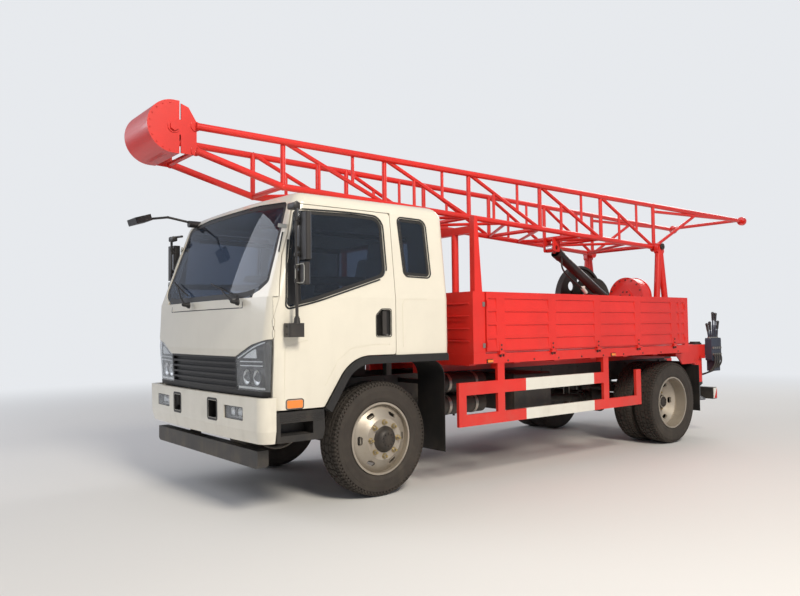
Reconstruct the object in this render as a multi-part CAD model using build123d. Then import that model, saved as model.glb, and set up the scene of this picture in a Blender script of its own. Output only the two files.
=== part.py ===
from build123d import *
import os
from math import atan2, cos, degrees, hypot, radians, sin, sqrt

# A light two-axle truck that carries a water well drilling rig: a cab over the engine,
# a drop-side bed with the winch in it, a lattice mast that lies forward over the cab and
# stands up at the back, and a rotary table behind the rear deck.
#
# Millimetres. The truck faces -Y, its left side is +X and Z is up from the ground.
# While it is modelled, Y is measured from the front axle; everything is moved at the end
# so that the middle of the overall length lies at Y = 0.

# Overall stations along the truck, from the front axle
WHEELBASE = 4200
RAIL_FRONT = -1000
CAB_FRONT = -1170
CAB_REAR = 650
BUMPER_FRONT = -1215
BED_FRONT = 860
BED_REAR = 4415
DECK_REAR = 5150
DECK_TOP = 1135

# Plates to stand on, on both sides of the rear deck
TREAD_PLATE_X = (640, 985)
TREAD_PLATE_Y = (4470, 4880)
TREAD_PLATE = 5

# Running clearances
SEAT = 0.3              # between pieces that only rest on each other
RUNNING = 0.05          # radial, a shaft in its bore
PANEL_GAP = 6           # round doors and drop sides
MOVING_GAP = 8          # between bodies that pass each other

# Wheels and tyres
TYRE_RADIUS = 475
TYRE_HALF_WIDTH = 122
BEAD_RADIUS = 290
RIM_FLANGE_RADIUS = 298.5
RIM_HALF_WIDTH = 108
RIM_WALL = 8
FRONT_TYRE_X = 870
REAR_TYRE_X = (714, 996)
FRONT_MOUNT_X = 1016    # outer face of the front wheel's disc, where its nuts sit
REAR_MOUNT_X = 868      # outer face of the rear discs, bolted back to back
DISC_THICKNESS = 12
NUT_CIRCLE_RADIUS = 138
NUT_COUNT = 8
NUT_ACROSS = 32
HAND_HOLES = 6
HAND_HOLE = (74, 34)    # length round the disc and width of each slot
HAND_HOLE_CIRCLE = 218
HUB_RADIUS = 108
DRUM_RADIUS = 205

# Front axle
KINGPIN_X = 700
KINGPIN_RADIUS = 22
BOSS_RADIUS = 45
BOSS_HALF_HEIGHT = 60
BEAM_DROP = 62
BEAM_HEIGHT = 88
BEAM_WIDTH = 92
STUB_RADIUS = 42
ARM_LENGTH = 190
ARM_BALL_X = 700
BALL_RADIUS = 12

# Rear axle
AXLE_TUBE_RADIUS = 66
BANJO_RADIUS = 185
PROPSHAFT_NOSE = 300    # how far the axle's nose reaches towards the shaft

# Frame
RAIL_OUTER_X = 430
RAIL_FLANGE = 75
RAIL_WALL = 8
RAIL_TOP = 950
RAIL_HEIGHT = 230
CROSSMEMBERS = (-880, 1250, 2050, 2850, 3560, 4750)
CROSSMEMBER_LENGTH = 90
CROSSMEMBER_HEIGHT = 150

# Springs: half length, leaf count, height of the eyes over the seat
SPRING_X = 405
SPRING_WIDTH = 75
LEAF = 13
FRONT_SPRING = (620, 4)
REAR_SPRING = (700, 6)
EYE_RADIUS = 28

# Cab
CAB_HALF_WIDTH = 1130
CAB_ROOF = 2450
CAB_WALL = 45
CAB_CORNER = 140
PILLAR_CORNER = 92
CAB_REAR_CORNER = 70
ROOF_CORNER = 112
ROOF_STEPS = 7
CAB_BOW = 42
BROW_SHARE = 0.55       # the roof's front edge is rounded less than its sides
SCREEN_SLOPE = 0.338    # how far the windscreen leans back for each unit of height
SIDE_SLOPE = 0.105      # the same for the upper sides
SCREEN_BASE_Z = 1630
NOSE_Z = 1240
CAB_BASE_Z = 790
ARCH_Z = 1168           # underside of the cab behind the door's low front part
ARCH_FOOT = -640        # rear end of the door's low part, where the wheel arch begins
ARCH_SLOPE = (260, 400) # run and rise of the arch's front before it bends to the level
ARCH_CORNER = 330       # radius of that bend
ARCH_TRIM = 64          # width of the black trim round the arch
ARCH_LINER_BEND = 150
ROOF_SPLIT_Z = 2345     # where the roof pressing meets the pillars and doors
DOOR_FRONT = -1070
DOOR_REAR = 50
DOOR_FRONT_EDGE = ((-848, 2345), (-912, 2115), (-975, 1935), (-1014, 1750), (-1036, 1615), (DOOR_FRONT, 1480))
GLASS_THICKNESS = 6
GLASS_DEPTH = 9
GROOVE = (7, 3)         # width and depth of the lines pressed into the cab's panels

# Window and lamp outlines: the side ones as (y, z), the front and rear ones as (x, z)
DOOR_WINDOW = [(-972, 1545), (-730, 1598), (-36, 1812), (-42, 2296), (-330, 2306), (-852, 2290),
               (-905, 2080), (-950, 1850)]
DOOR_WINDOW_RADII = [30, 200, 70, 90, 400, 30, 300, 300]
QUARTER_WINDOW = [(162, 1826), (440, 1820), (424, 2306), (132, 2310)]
QUARTER_RADII = [38, 38, 60, 38]
HANDLE_POCKET = [(-150, 1324), (-6, 1324), (-6, 1538), (-100, 1538), (-150, 1490)]
DOOR_LINE = [(-992, 880), (-990, 1266), (-800, 1303)]
ARCH_LINE = [(-640, 960), (-520, 1150), (-400, 1232), (-190, 1256), (-20, 1256)]
QUARTER_LINE = [(118, 1230), (118, 1622), (380, 1628)]
PANEL_LINE = [(-690, 1578), (-660, 1558), (660, 1558), (690, 1578)]
REAR_WINDOW = [(-620, 1760), (620, 1760), (600, 2230), (-600, 2230)]
SCREEN_HALF = [(780, 1632), (930, 1684), (1018, 1742), (990, 1980), (932, 2372), (480, 2402)]
SCREEN = SCREEN_HALF + [(-x, z) for x, z in reversed(SCREEN_HALF)]
SCREEN_RADII = [200, 60, 40, 300, 60, 600, 600, 60, 300, 40, 60, 200]
LAMP = [(645, 930), (1130, 930), (1130, 1320), (1068, 1314), (880, 1276), (645, 1184)]
LAMP_RADII = [0, 0, 0, 24, 260, 0]

# Regions that each side of the cab is cut in
SIDE_X = (880, CAB_HALF_WIDTH + 60)
FRONT_Y = (CAB_FRONT - 60, -700)
REAR_Y = (CAB_REAR - 100, CAB_REAR + 60)

# Mirror pole on the door, as (x, y)
MIRROR_ARM = (1215, -935)

# Front end
BUMPER_REAR = -1060
BUMPER_BOTTOM = 560
BUMPER_TOP = 892
GRILLE_BOTTOM = 892     # foot of the black strip that runs the whole width over the bumper
GRILLE_STRIP_TOP = 930  # top of that strip and foot of the lamps
GRILLE_TOP = 1184
GRILLE_HALF_WIDTH = 645
GRILLE_SLOTS = 5
GRILLE_BAR = 18
UNDERRUN_HALF = 990
UNDERRUN_Z = (370, 500)
FOG_X = (560, 860)
FOG_Z = (715, 815)
REAR_BAR_HALF = 1080
REAR_BAR_Z = (445, 590)

# Bed
BED_HALF_WIDTH = 1200
BED_FLOOR_TOP = 1150
BED_SIDE_TOP = 1705
BED_SILL_BOTTOM = 1058
BED_FLOOR_THICKNESS = 35
BED_POST = 150
BED_WALL = 35
BED_SILL = 55
BED_SILL_STEP = 3       # how far the sills lie below the floor
RIB_PITCH = 722
RIB_FIRST = 1200
RIB_COUNT = 5
RIB_WIDTH = 90
RIB_PROUD = 8
DOOR_HINGE = (1104, -1067)  # line of the front door hinges, as (x, y)
DOOR_HINGES = (1342, 1426)  # foot of each hinge's knuckle
DOOR_SWEEP = 93  # room round the hinge line, for the door's turned-in front edge
HINGE_HEIGHT = 28
HINGE_BARREL = 8
HINGE_ROD = 5
HINGE_X = 1220
HINGE_PIN = 8
HINGE_KNUCKLE = 13

# Side guards
GUARD_X = 1165
GUARD_THICKNESS = 30
GUARD_FRONT = 680
GUARD_REAR = 3420
GUARD_RAILS = ((520, 621), (790, 902))
GUARD_POSTS = (680, 1165, 2745, 3330)
GUARD_POST_WIDTH = 90

# Mast, as it lies over the truck
PIVOT_Y = 4880
PIVOT_Z = 2405
MAST_PANEL = 1080
MAST_PANELS = 5
MAST_REAR_HALF = 484
MAST_FRONT_HALF = 284
MAST_REAR_HEIGHT = 550
MAST_FRONT_HEIGHT = 402
MAST_KINK_RISE = 222
MAST_HEAD_LENGTH = 790
CHORD_RADIUS = 30
BRACE_RADIUS = 20
TAIL_LENGTH = 2112
TAIL_HALF = 560
TAIL_FOOT = 160
FOOT_RADIUS = 62
CROWN_RADIUS = 212
CROWN_HALF = 270
CROWN_PLATE = 10
CROWN_FLAT = 46         # straight part of the hood between its round and its open side
SHEAVE_RADIUS = 135
SHEAVE_WIDTH = 44
SHEAVE_X = (-70, 70)

# Mast rest over the front of the bed
REST_Y = 900
REST_BEAM = (2234, 2300)
REST_POST_X = 1160
REST_INNER_X = 910

# Mast lifting cylinder
RAM_BASE = (4620, 1660)
RAM_EYE = (3405, 2352)
RAM_BARREL_RADIUS = 62
RAM_ROD_RADIUS = 38
RAM_EYE_RADIUS = 55
RAM_PIN_RADIUS = 25

# Winch with its large drive wheel, the arched drive case and the rotary table
WINCH_Y = 4490
WINCH_Z = 1734
WINCH_PLATES = (-372, -125)     # inner corners of the two bearing plates
WINCH_PLATE = 20
WINCH_SHAFT = 35
DRUM_CORE_RADIUS = 130
DRUM_FLANGE_RADIUS = 290
WHEEL_X = -425
WHEEL_RADIUS = 474
WHEEL_WIDTH = 90
CASE_X = 350
CASE_Y = (4425, 4615)
CASE_Z = 1745
CASE_RADIUS = 248
TABLE_Y = 5460
TABLE_RADIUS = 250
TABLE_BORE = 130
TABLE_Z = (930, 1100)

# Rear jacks
JACK_X = 930
JACK_Y = 5040
JACK_TUBE_RADIUS = 62
JACK_LEG_RADIUS = 48
JACK_FOOT_RADIUS = 105
JACK_FOOT_Z = 440
JACK_TOP = 1030

REAR_AXLE = WHEELBASE


def block(x, y, z):
    """A box from (low, high) pairs along X, Y and Z."""
    size = [high - low for low, high in (x, y, z)]
    middle = [(low + high) / 2 for low, high in (x, y, z)]
    return Pos(*middle) * Box(*size)


def bar(a, b, radius):
    """A round bar from point a to point b."""
    start, end = Vector(*a), Vector(*b)
    run = end - start
    stand = (Align.CENTER, Align.CENTER, Align.MIN)
    return Plane(origin=start, z_dir=run) * Cylinder(radius, run.length, align=stand)


def outline(points, radii=0):
    """A closed face with straight sides and round corners."""
    if radii == 0:
        return make_face(Polyline(*points, close=True))
    return make_face(FilletPolyline(*points, radius=radii, close=True))


def side_form(points, x, radii=0):
    """A (y, z) outline carried across from x[0] to x[1]."""
    return extrude(Plane.YZ.offset(x[0]) * outline(points, radii), x[1] - x[0], dir=(1, 0, 0))


def front_form(points, y, radii=0):
    """An (x, z) outline carried along from y[0] to y[1]."""
    return extrude(Plane.XZ.offset(-y[1]) * outline(points, radii), y[1] - y[0], dir=(0, -1, 0))


def plan_form(points, z, radii=0):
    """An (x, y) outline carried up from z[0] to z[1]."""
    return extrude(Plane.XY.offset(z[0]) * outline(points, radii), z[1] - z[0], dir=(0, 0, 1))


def turned(points, centre=(0, 0)):
    """An (x, radius) outline turned about the X axis line through centre (y, z)."""
    face = Plane.XY * make_face(Polyline(*points, close=True))
    return Pos(0, *centre) * revolve(face, Axis.X)


def sheet(points, radius, thickness, x):
    """A bent sheet that follows (y, z) points, carried across in X."""
    path = FilletPolyline(*points, radius=radius)
    face = make_face(offset(path, amount=thickness, side=Side.LEFT, closed=True))
    return extrude(Plane.YZ.offset(x[0]) * face, x[1] - x[0], dir=(1, 0, 0))


def flip(shape):
    return mirror(shape, about=Plane.YZ)


def both(shape):
    """A piece and its twin on the other side of the truck."""
    return [shape, flip(shape)]


def fuse(first, *others):
    for other in others:
        first = first + other
    return first


# Wheels

def tyre(x):
    """A tyre as one closed ring round the X axis, with its centre plane at x."""
    w, r = TYRE_HALF_WIDTH, TYRE_RADIUS
    bead, shoulder = w - 30, w - 22
    right = ThreePointArc((bead, BEAD_RADIUS + 8), (w, r - 92), (shoulder, r - 16))
    crown = ThreePointArc((shoulder, r - 16), (0, r), (-shoulder, r - 16))
    left = ThreePointArc((-shoulder, r - 16), (-w, r - 92), (-bead, BEAD_RADIUS + 8))
    foot = Polyline((-bead, BEAD_RADIUS + 8), (-bead, BEAD_RADIUS), (bead, BEAD_RADIUS),
                    (bead, BEAD_RADIUS + 8))
    ring = revolve(make_face([right, crown, left, foot]), Axis.X)
    return Pos(x, 0, 0) * ring


def rim(x):
    """The barrel and flanges of a rim."""
    w, r = RIM_HALF_WIDTH, BEAD_RADIUS
    inner = r - RIM_WALL
    points = [(-w, inner), (w, inner), (w, RIM_FLANGE_RADIUS), (w - RIM_WALL, RIM_FLANGE_RADIUS),
              (w - RIM_WALL, r), (RIM_WALL - w, r), (RIM_WALL - w, RIM_FLANGE_RADIUS),
              (-w, RIM_FLANGE_RADIUS)]
    return Pos(x, 0, 0) * turned(points)


def disc(mount_x, rim_x, outward):
    """A dished disc from its bolted face at mount_x to the barrel of the rim at rim_x."""
    t = DISC_THICKNESS * outward
    edge = BEAD_RADIUS - RIM_WALL + 1
    flat = NUT_CIRCLE_RADIUS + 32
    points = [(mount_x, HUB_RADIUS - 20), (mount_x, flat), (rim_x, edge), (rim_x - t, edge),
              (rim_x - t, edge - 14), (mount_x - t, flat - 6), (mount_x - t, HUB_RADIUS - 20)]
    plate = turned(points)
    slot = extrude(Plane.YZ.offset(mount_x - 200) * SlotOverall(*HAND_HOLE), 400, dir=(1, 0, 0))
    for i in range(HAND_HOLES):
        angle = 360 / HAND_HOLES * (i + 0.5)
        plate = plate - Rot(angle, 0, 0) * Pos(0, 0, HAND_HOLE_CIRCLE) * slot
    return plate


def nuts(mount_x):
    """The ring of wheel nuts on the bolted face."""
    ring = []
    for i in range(NUT_COUNT):
        angle = 360 / NUT_COUNT * i
        nut = extrude(Plane.YZ.offset(mount_x) * RegularPolygon(NUT_ACROSS / 2, 6), 30, dir=(1, 0, 0))
        ring.append(Rot(angle, 0, 0) * Pos(0, 0, NUT_CIRCLE_RADIUS) * nut)
    return ring


def front_wheel():
    """Rim, dished disc, nuts, hub and brake drum, turning on the stub."""
    hub = turned([(805, STUB_RADIUS + RUNNING), (FRONT_MOUNT_X + 2, STUB_RADIUS + RUNNING),
                  (FRONT_MOUNT_X + 2, 0), (FRONT_MOUNT_X + 58, 0), (FRONT_MOUNT_X + 58, 52),
                  (FRONT_MOUNT_X + 46, 64), (FRONT_MOUNT_X + 2, 72), (FRONT_MOUNT_X + 2, HUB_RADIUS),
                  (FRONT_MOUNT_X - DISC_THICKNESS, HUB_RADIUS + 60),
                  (FRONT_MOUNT_X - DISC_THICKNESS - 14, HUB_RADIUS + 60),
                  (FRONT_MOUNT_X - 60, 84), (805, 84)])
    drum = turned([(790, DRUM_RADIUS - 16), (790, DRUM_RADIUS), (960, DRUM_RADIUS),
                   (972, DRUM_RADIUS - 12), (972, 80), (960, 80), (960, DRUM_RADIUS - 16)])
    wheel = fuse(rim(FRONT_TYRE_X), disc(FRONT_MOUNT_X, FRONT_TYRE_X + 60, 1), hub, drum)
    return Pos(0, 0, TYRE_RADIUS) * fuse(wheel, *nuts(FRONT_MOUNT_X))


def rear_wheels():
    """Twin rims on one hub, with the brake drum inboard."""
    inner, outer = REAR_TYRE_X
    bore = STUB_RADIUS + RUNNING
    hub = turned([(655, bore), (REAR_MOUNT_X + 62, bore), (REAR_MOUNT_X + 62, 0),
                  (REAR_MOUNT_X + 112, 0), (REAR_MOUNT_X + 112, 70), (REAR_MOUNT_X + 62, 84),
                  (REAR_MOUNT_X, HUB_RADIUS), (REAR_MOUNT_X - 2 * DISC_THICKNESS, HUB_RADIUS + 60),
                  (REAR_MOUNT_X - 2 * DISC_THICKNESS - 14, HUB_RADIUS + 60),
                  (REAR_MOUNT_X - 90, 84), (655, 84)])
    drum = turned([(640, DRUM_RADIUS - 16), (640, DRUM_RADIUS), (800, DRUM_RADIUS),
                   (812, DRUM_RADIUS - 12), (812, 80), (800, 80), (800, DRUM_RADIUS - 16)])
    discs = [disc(REAR_MOUNT_X, outer - 40, -1), disc(REAR_MOUNT_X - 2 * DISC_THICKNESS, inner + 40, 1)]
    wheel = fuse(rim(inner), rim(outer), *discs, hub, drum)
    return Pos(0, REAR_AXLE, TYRE_RADIUS) * fuse(wheel, *nuts(REAR_MOUNT_X))


def front_tyre():
    return Pos(0, 0, TYRE_RADIUS) * tyre(FRONT_TYRE_X)


def rear_tyres():
    return [Pos(0, REAR_AXLE, TYRE_RADIUS) * tyre(x) for x in REAR_TYRE_X]


# Axles and steering

def knuckle():
    """The left steering knuckle: ears on the king pin, stub axle, back plate and arm."""
    z = TYRE_RADIUS
    low, high = z - BOSS_HALF_HEIGHT, z + BOSS_HALF_HEIGHT
    pin = bar((KINGPIN_X, 0, low - 30), (KINGPIN_X, 0, high + 30), KINGPIN_RADIUS)
    ears = [bar((KINGPIN_X, 0, base), (KINGPIN_X, 0, base + 30), BOSS_RADIUS)
            for base in (low - 30 - SEAT, high + SEAT)]
    face_x = KINGPIN_X + BOSS_RADIUS + MOVING_GAP
    lugs = [block((KINGPIN_X + 20, face_x + 22), (-32, 32), (base, base + 30))
            for base in (low - 30 - SEAT, high + SEAT)]
    flange = bar((face_x, 0, z), (face_x + 22, 0, z), 96)
    back = bar((face_x + 21, 0, z), (face_x + 29, 0, z), DRUM_RADIUS - 20)
    stub = bar((face_x, 0, z), (FRONT_MOUNT_X, 0, z), STUB_RADIUS)
    arm_z = low - 30 - SEAT
    arm = plan_form([(KINGPIN_X - 34, 10), (KINGPIN_X + 34, 10), (ARM_BALL_X + 26, ARM_LENGTH + 20),
                     (ARM_BALL_X - 26, ARM_LENGTH + 20)], (arm_z, arm_z + 26), 14)
    hole = bar((ARM_BALL_X, ARM_LENGTH, arm_z - 5), (ARM_BALL_X, ARM_LENGTH, arm_z + 40),
               BALL_RADIUS + RUNNING)
    return fuse(pin, *ears, *lugs, flange, back, stub, arm) - hole


def tie_rod():
    """The cross rod between the steering arms, with a ball stud up into each."""
    arm_z = TYRE_RADIUS - BOSS_HALF_HEIGHT - 30 - SEAT
    z = arm_z - 26
    rod = bar((-ARM_BALL_X, ARM_LENGTH, z), (ARM_BALL_X, ARM_LENGTH, z), 16)
    ends = []
    for x in (-ARM_BALL_X, ARM_BALL_X):
        ends.append(bar((x, ARM_LENGTH, z - 22), (x, ARM_LENGTH, arm_z - 2), 26))
        ends.append(bar((x, ARM_LENGTH, z), (x, ARM_LENGTH, arm_z + 24), BALL_RADIUS))
    return fuse(rod, *ends)


def front_axle():
    """A forged I-beam, dropped between the springs, with a bored boss at each end."""
    z = TYRE_RADIUS
    top, drop, h = z + 40, BEAM_DROP, BEAM_HEIGHT
    end, bend = KINGPIN_X, SPRING_X + 80
    points = [(-end, top), (-bend, top - drop), (bend, top - drop), (end, top),
              (end, top - h + 16), (bend, top - drop - h), (-bend, top - drop - h), (-end, top - h + 16)]
    beam = front_form(points, (-BEAM_WIDTH / 2, BEAM_WIDTH / 2))
    web = 22
    low, high = top - drop - h + web, top - drop - web
    inner_end = end - BOSS_RADIUS - 30
    rise = drop * (inner_end - bend) / (end - bend)
    pocket = [(-inner_end, high + rise), (-bend, high), (bend, high), (inner_end, high + rise),
              (inner_end, low + rise), (bend, low), (-bend, low), (-inner_end, low + rise)]
    for side in (-1, 1):
        edge = sorted((side * 14, side * (BEAM_WIDTH / 2 + 1)))
        beam = beam - front_form(pocket, edge)
    for x in (-end, end):
        boss = bar((x, 0, z - BOSS_HALF_HEIGHT), (x, 0, z + BOSS_HALF_HEIGHT), BOSS_RADIUS)
        hole = bar((x, 0, z - 100), (x, 0, z + 100), KINGPIN_RADIUS + RUNNING)
        beam = beam + boss - hole
    return beam


def rear_axle():
    """The driven axle: tubes, banjo, its nose towards the shaft, back plates and stubs."""
    z = TYRE_RADIUS
    tube = bar((-628, 0, 0), (628, 0, 0), AXLE_TUBE_RADIUS)
    banjo = turned([(-210, 0), (-210, AXLE_TUBE_RADIUS), (-85, BANJO_RADIUS), (85, BANJO_RADIUS),
                    (210, AXLE_TUBE_RADIUS), (210, 0)])
    nose = bar((0, 0, 0), (0, -PROPSHAFT_NOSE, 0), 88)
    ends = []
    for side in (-1, 1):
        ends.append(bar((side * 610, 0, 0), (side * 632, 0, 0), DRUM_RADIUS - 20))
        ends.append(bar((side * 600, 0, 0), (side * (REAR_MOUNT_X + 58), 0, 0), STUB_RADIUS))
    return Pos(0, REAR_AXLE, z) * fuse(tube, banjo, nose, *ends)


def spring(centre_y, seat_z, half, leaves, x):
    """A leaf spring pack with its clamp block, eyes and hangers under the rail."""
    rail_low = RAIL_TOP - RAIL_HEIGHT
    eye_z = rail_low - 62
    bottom = seat_z + 30
    sag = eye_z - (bottom + leaves * LEAF)
    radius = (half ** 2 + sag ** 2) / (2 * sag)
    top_z = bottom + leaves * LEAF
    centre_z = top_z - LEAF + radius
    left, right = x - SPRING_WIDTH / 2, x + SPRING_WIDTH / 2
    pack = block((left, right), (centre_y - 70, centre_y + 70), (seat_z, bottom + 4))
    for i in range(leaves):
        reach = half * (1 - i / (leaves + 1))
        inner, outer = radius - LEAF + i * LEAF, radius + i * LEAF
        angle = reach / radius
        arcs = []
        for r in (inner, outer):
            arcs.append([(centre_y + r * sin(a), centre_z - r * cos(a)) for a in (-angle, 0, angle)])
        face = make_face([ThreePointArc(*arcs[0]), Line(arcs[0][2], arcs[1][2]),
                          ThreePointArc(*arcs[1]), Line(arcs[1][0], arcs[0][0])])
        pack = pack + extrude(Plane.YZ.offset(left) * face, SPRING_WIDTH, dir=(1, 0, 0))
    for side in (-1, 1):
        y = centre_y + side * half
        pack = pack + bar((left, y, eye_z), (right, y, eye_z), EYE_RADIUS)
        hanger = side_form([(y - 34, eye_z - 20), (y + 34, eye_z - 20), (y + 70, rail_low),
                            (y - 70, rail_low)], (left + 8, right - 8))
        pack = pack + hanger
    return pack


def leaf_springs():
    front_half, front_leaves = FRONT_SPRING
    rear_half, rear_leaves = REAR_SPRING
    front_seat = TYRE_RADIUS + 40 - BEAM_DROP
    front = spring(0, front_seat, front_half, front_leaves, SPRING_X - 10)
    rear_seat = TYRE_RADIUS + AXLE_TUBE_RADIUS + 6
    rear = spring(REAR_AXLE, rear_seat, rear_half, rear_leaves, SPRING_X - 10)
    saddle = block((SPRING_X - 10 - SPRING_WIDTH / 2, SPRING_X - 10 + SPRING_WIDTH / 2),
                   (REAR_AXLE - 60, REAR_AXLE + 60), (TYRE_RADIUS, rear_seat + 1))
    tube = bar((200, REAR_AXLE, TYRE_RADIUS), (640, REAR_AXLE, TYRE_RADIUS), AXLE_TUBE_RADIUS + SEAT)
    return both(front) + both(rear + (saddle - tube))


# Frame and running gear

def chassis_frame():
    """Two channel rails with the crossmembers between them."""
    outer, inner = RAIL_OUTER_X, RAIL_OUTER_X - RAIL_FLANGE
    low, high, t = RAIL_TOP - RAIL_HEIGHT, RAIL_TOP, RAIL_WALL
    channel = [(outer, low), (outer, high), (inner, high), (inner, high - t), (outer - t, high - t),
               (outer - t, low + t), (inner, low + t), (inner, low)]
    rail = front_form(channel, (RAIL_FRONT, DECK_REAR))
    pieces = both(rail)
    reach = outer - t - SEAT
    middle = (low + high) / 2
    for y in CROSSMEMBERS:
        web = block((-reach, reach), (y - 4, y + 4), (low + t + SEAT, high - t - SEAT))
        flange_top = block((-reach, reach), (y - 4, y + CROSSMEMBER_LENGTH), (high - 2 * t - SEAT, high - t - SEAT))
        flange_low = block((-reach, reach), (y - 4, y + CROSSMEMBER_LENGTH), (low + t + SEAT, low + 2 * t + SEAT))
        hole = bar((0, y - 50, middle), (0, y + 50, middle), 55)
        pieces.append(fuse(web, flange_top, flange_low) - hole)
    return pieces


def engine_and_propshaft():
    """The engine and gearbox as plain masses, and the shaft to the rear axle's nose."""
    engine = block((-300, 300), (-640, 330), (560, 1150))
    pan = block((-170, 170), (-560, 200), (470, 560))
    gearbox = side_form([(330, 600), (330, 980), (700, 900), (1060, 780), (1060, 600), (700, 570)],
                        (-170, 170), 20)
    end = (0, REAR_AXLE - PROPSHAFT_NOSE - SEAT, TYRE_RADIUS)
    start = (0, 1050, 690)
    joint = bar(start, (0, 1120, 685), 72)
    shaft = bar(start, (0, end[1] - 20, TYRE_RADIUS + 2), 45)
    coupling = bar((0, end[1] - 60, TYRE_RADIUS), end, 72)
    mounts = [block((300, RAIL_OUTER_X - RAIL_WALL - SEAT), (y, y + 90), (760, 830)) for y in (-560, 150)]
    mounts += [flip(m) for m in mounts]
    return fuse(engine, pan, gearbox, joint, shaft, coupling, *mounts)


def tanks_and_muffler():
    """Fuel tank on the right, battery box and air tanks on the left, muffler behind the axle."""
    inner, outer = RAIL_OUTER_X + SEAT, 1000
    fuel = front_form([(-inner - 60, 480), (-outer, 480), (-outer, 900), (-inner - 60, 900)],
                      (1250, 2300), 60)
    straps = [block((-inner - 62, -inner), (y, y + 60), (730, 930)) for y in (1400, 2050)]
    fuel = fuse(fuel, *straps)
    battery = block((inner, 900), (1700, 2250), (560, 920))
    battery = fillet(battery.edges().filter_by(Axis.Y).group_by(Axis.X)[-1], 25)
    air = []
    for z in (640, 850):
        hook = max(z + 30, RAIL_TOP - RAIL_HEIGHT + 60)
        air.append(fuse(bar((inner + 130, 950, z), (inner + 130, 1560, z), 95),
                        block((inner, inner + 60), (1050, 1110), (z - 30, hook)),
                        block((inner, inner + 60), (1400, 1460), (z - 30, hook))))
    muffler = fuse(bar((-inner - 170, 2750, 700), (-inner - 170, 3450, 700), 120),
                   block((-inner - 90, -inner), (2900, 2950), (740, 800)),
                   block((-inner - 90, -inner), (3250, 3300), (740, 800)))
    return [fuel, battery, *air, muffler]


# Cab

def cab_sections(inset, drop):
    """Plan outlines of the cab, lowest first: height, front, half width, rear, front corner, rear corner."""
    nose, half, rear = CAB_FRONT + inset, CAB_HALF_WIDTH - inset, CAB_REAR - inset
    base, low_corner, top_corner = SCREEN_BASE_Z, CAB_CORNER - inset, PILLAR_CORNER - inset
    back_corner = max(CAB_REAR_CORNER - inset, 12)
    sections = [
        (CAB_BASE_Z - drop, nose + 25, half - 14, rear, low_corner, back_corner),
        (NOSE_Z, nose, half, rear, low_corner, back_corner),
        (base, nose + 34, half, rear, top_corner, back_corner),
    ]
    r = ROOF_CORNER - inset
    centre = CAB_ROOF - ROOF_CORNER
    for step in range(ROOF_STEPS + 1):
        angle = radians(90 * step / ROOF_STEPS)
        z, pull = centre + r * sin(angle), r * (1 - cos(angle))
        sections.append((z, nose + 34 + SCREEN_SLOPE * (z - base) + pull * BROW_SHARE,
                         half - SIDE_SLOPE * (z - base) - pull, rear - pull,
                         max(top_corner - pull * 0.5, 24), max(back_corner - pull * 0.5, 12)))
    return sections


def cab_form(inset=0, drop=0):
    """The closed form of the cab, moved inwards by inset and carried lower by drop."""
    rings = []
    for z, f, w, b, c, k in cab_sections(inset, drop):
        bow = CAB_BOW
        cut = 1 - sqrt(0.5)
        edges = [
            ThreePointArc((c - w, f + bow), (0, f), (w - c, f + bow)),
            ThreePointArc((w - c, f + bow), (w - c * cut, f + bow + c * cut), (w, f + bow + c)),
            Line((w, f + bow + c), (w, b - k)),
            ThreePointArc((w, b - k), (w - k * cut, b - k * cut), (w - k, b)),
            Line((w - k, b), (k - w, b)),
            ThreePointArc((k - w, b), (k * cut - w, b - k * cut), (-w, b - k)),
            Line((-w, b - k), (-w, f + bow + c)),
            ThreePointArc((-w, f + bow + c), (c * cut - w, f + bow + c * cut), (c - w, f + bow)),
        ]
        rings.append(Plane.XY.offset(z) * make_face(edges))
    return loft(rings, ruled=True)


def door_outline(gap):
    """The door opening as (y, z) points, moved inwards by gap on every side."""
    slope_y, slope_z = ARCH_SLOPE
    length = hypot(slope_y, slope_z)
    low_z = CAB_BASE_Z
    turn_y = ARCH_FOOT + (ARCH_Z - low_z) * slope_y / slope_z
    shift = gap * length / slope_z
    rise = gap * slope_y / slope_z
    return [
        (DOOR_FRONT + gap, low_z + gap),
        (ARCH_FOOT - shift + rise, low_z + gap),
        (turn_y - shift + rise, ARCH_Z + gap),
        (DOOR_REAR - gap, ARCH_Z + gap),
        (DOOR_REAR - gap, ROOF_SPLIT_Z - gap),
        (DOOR_FRONT_EDGE[0][0] + gap, ROOF_SPLIT_Z - gap),
    ] + [(y + gap, z) for y, z in DOOR_FRONT_EDGE[1:]]


def door_radii(gap):
    """Corner radii of the door opening; the large one follows the wheel arch."""
    return [20, 20, ARCH_CORNER + gap, 20, 30, 20] + [20] * (len(DOOR_FRONT_EDGE) - 1)


outer_form = cab_form()
inner_form = cab_form(CAB_WALL, 200)
glass_outer = cab_form(GLASS_DEPTH)
glass_inner = cab_form(GLASS_DEPTH + GLASS_THICKNESS, 200)
groove_floor = cab_form(GROOVE[1])


def wall(region):
    """The part of the cab's wall that lies in a region."""
    return (outer_form & region) - inner_form


def pane(region):
    """The part of the glazing that lies in a region."""
    return (glass_outer & region) - glass_inner


def shrink(points, radii, gap):
    """An outline moved inwards by a seating gap."""
    return offset(outline(points, radii), amount=-gap)


def side_cut(points, radii, gap=0):
    face = shrink(points, radii, gap) if gap else outline(points, radii)
    return extrude(Plane.YZ.offset(SIDE_X[0]) * face, SIDE_X[1] - SIDE_X[0], dir=(1, 0, 0))


def front_cut(points, radii, y, gap=0):
    face = shrink(points, radii, gap) if gap else outline(points, radii)
    return extrude(Plane.XZ.offset(-y[1]) * face, y[1] - y[0], dir=(0, -1, 0))


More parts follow.
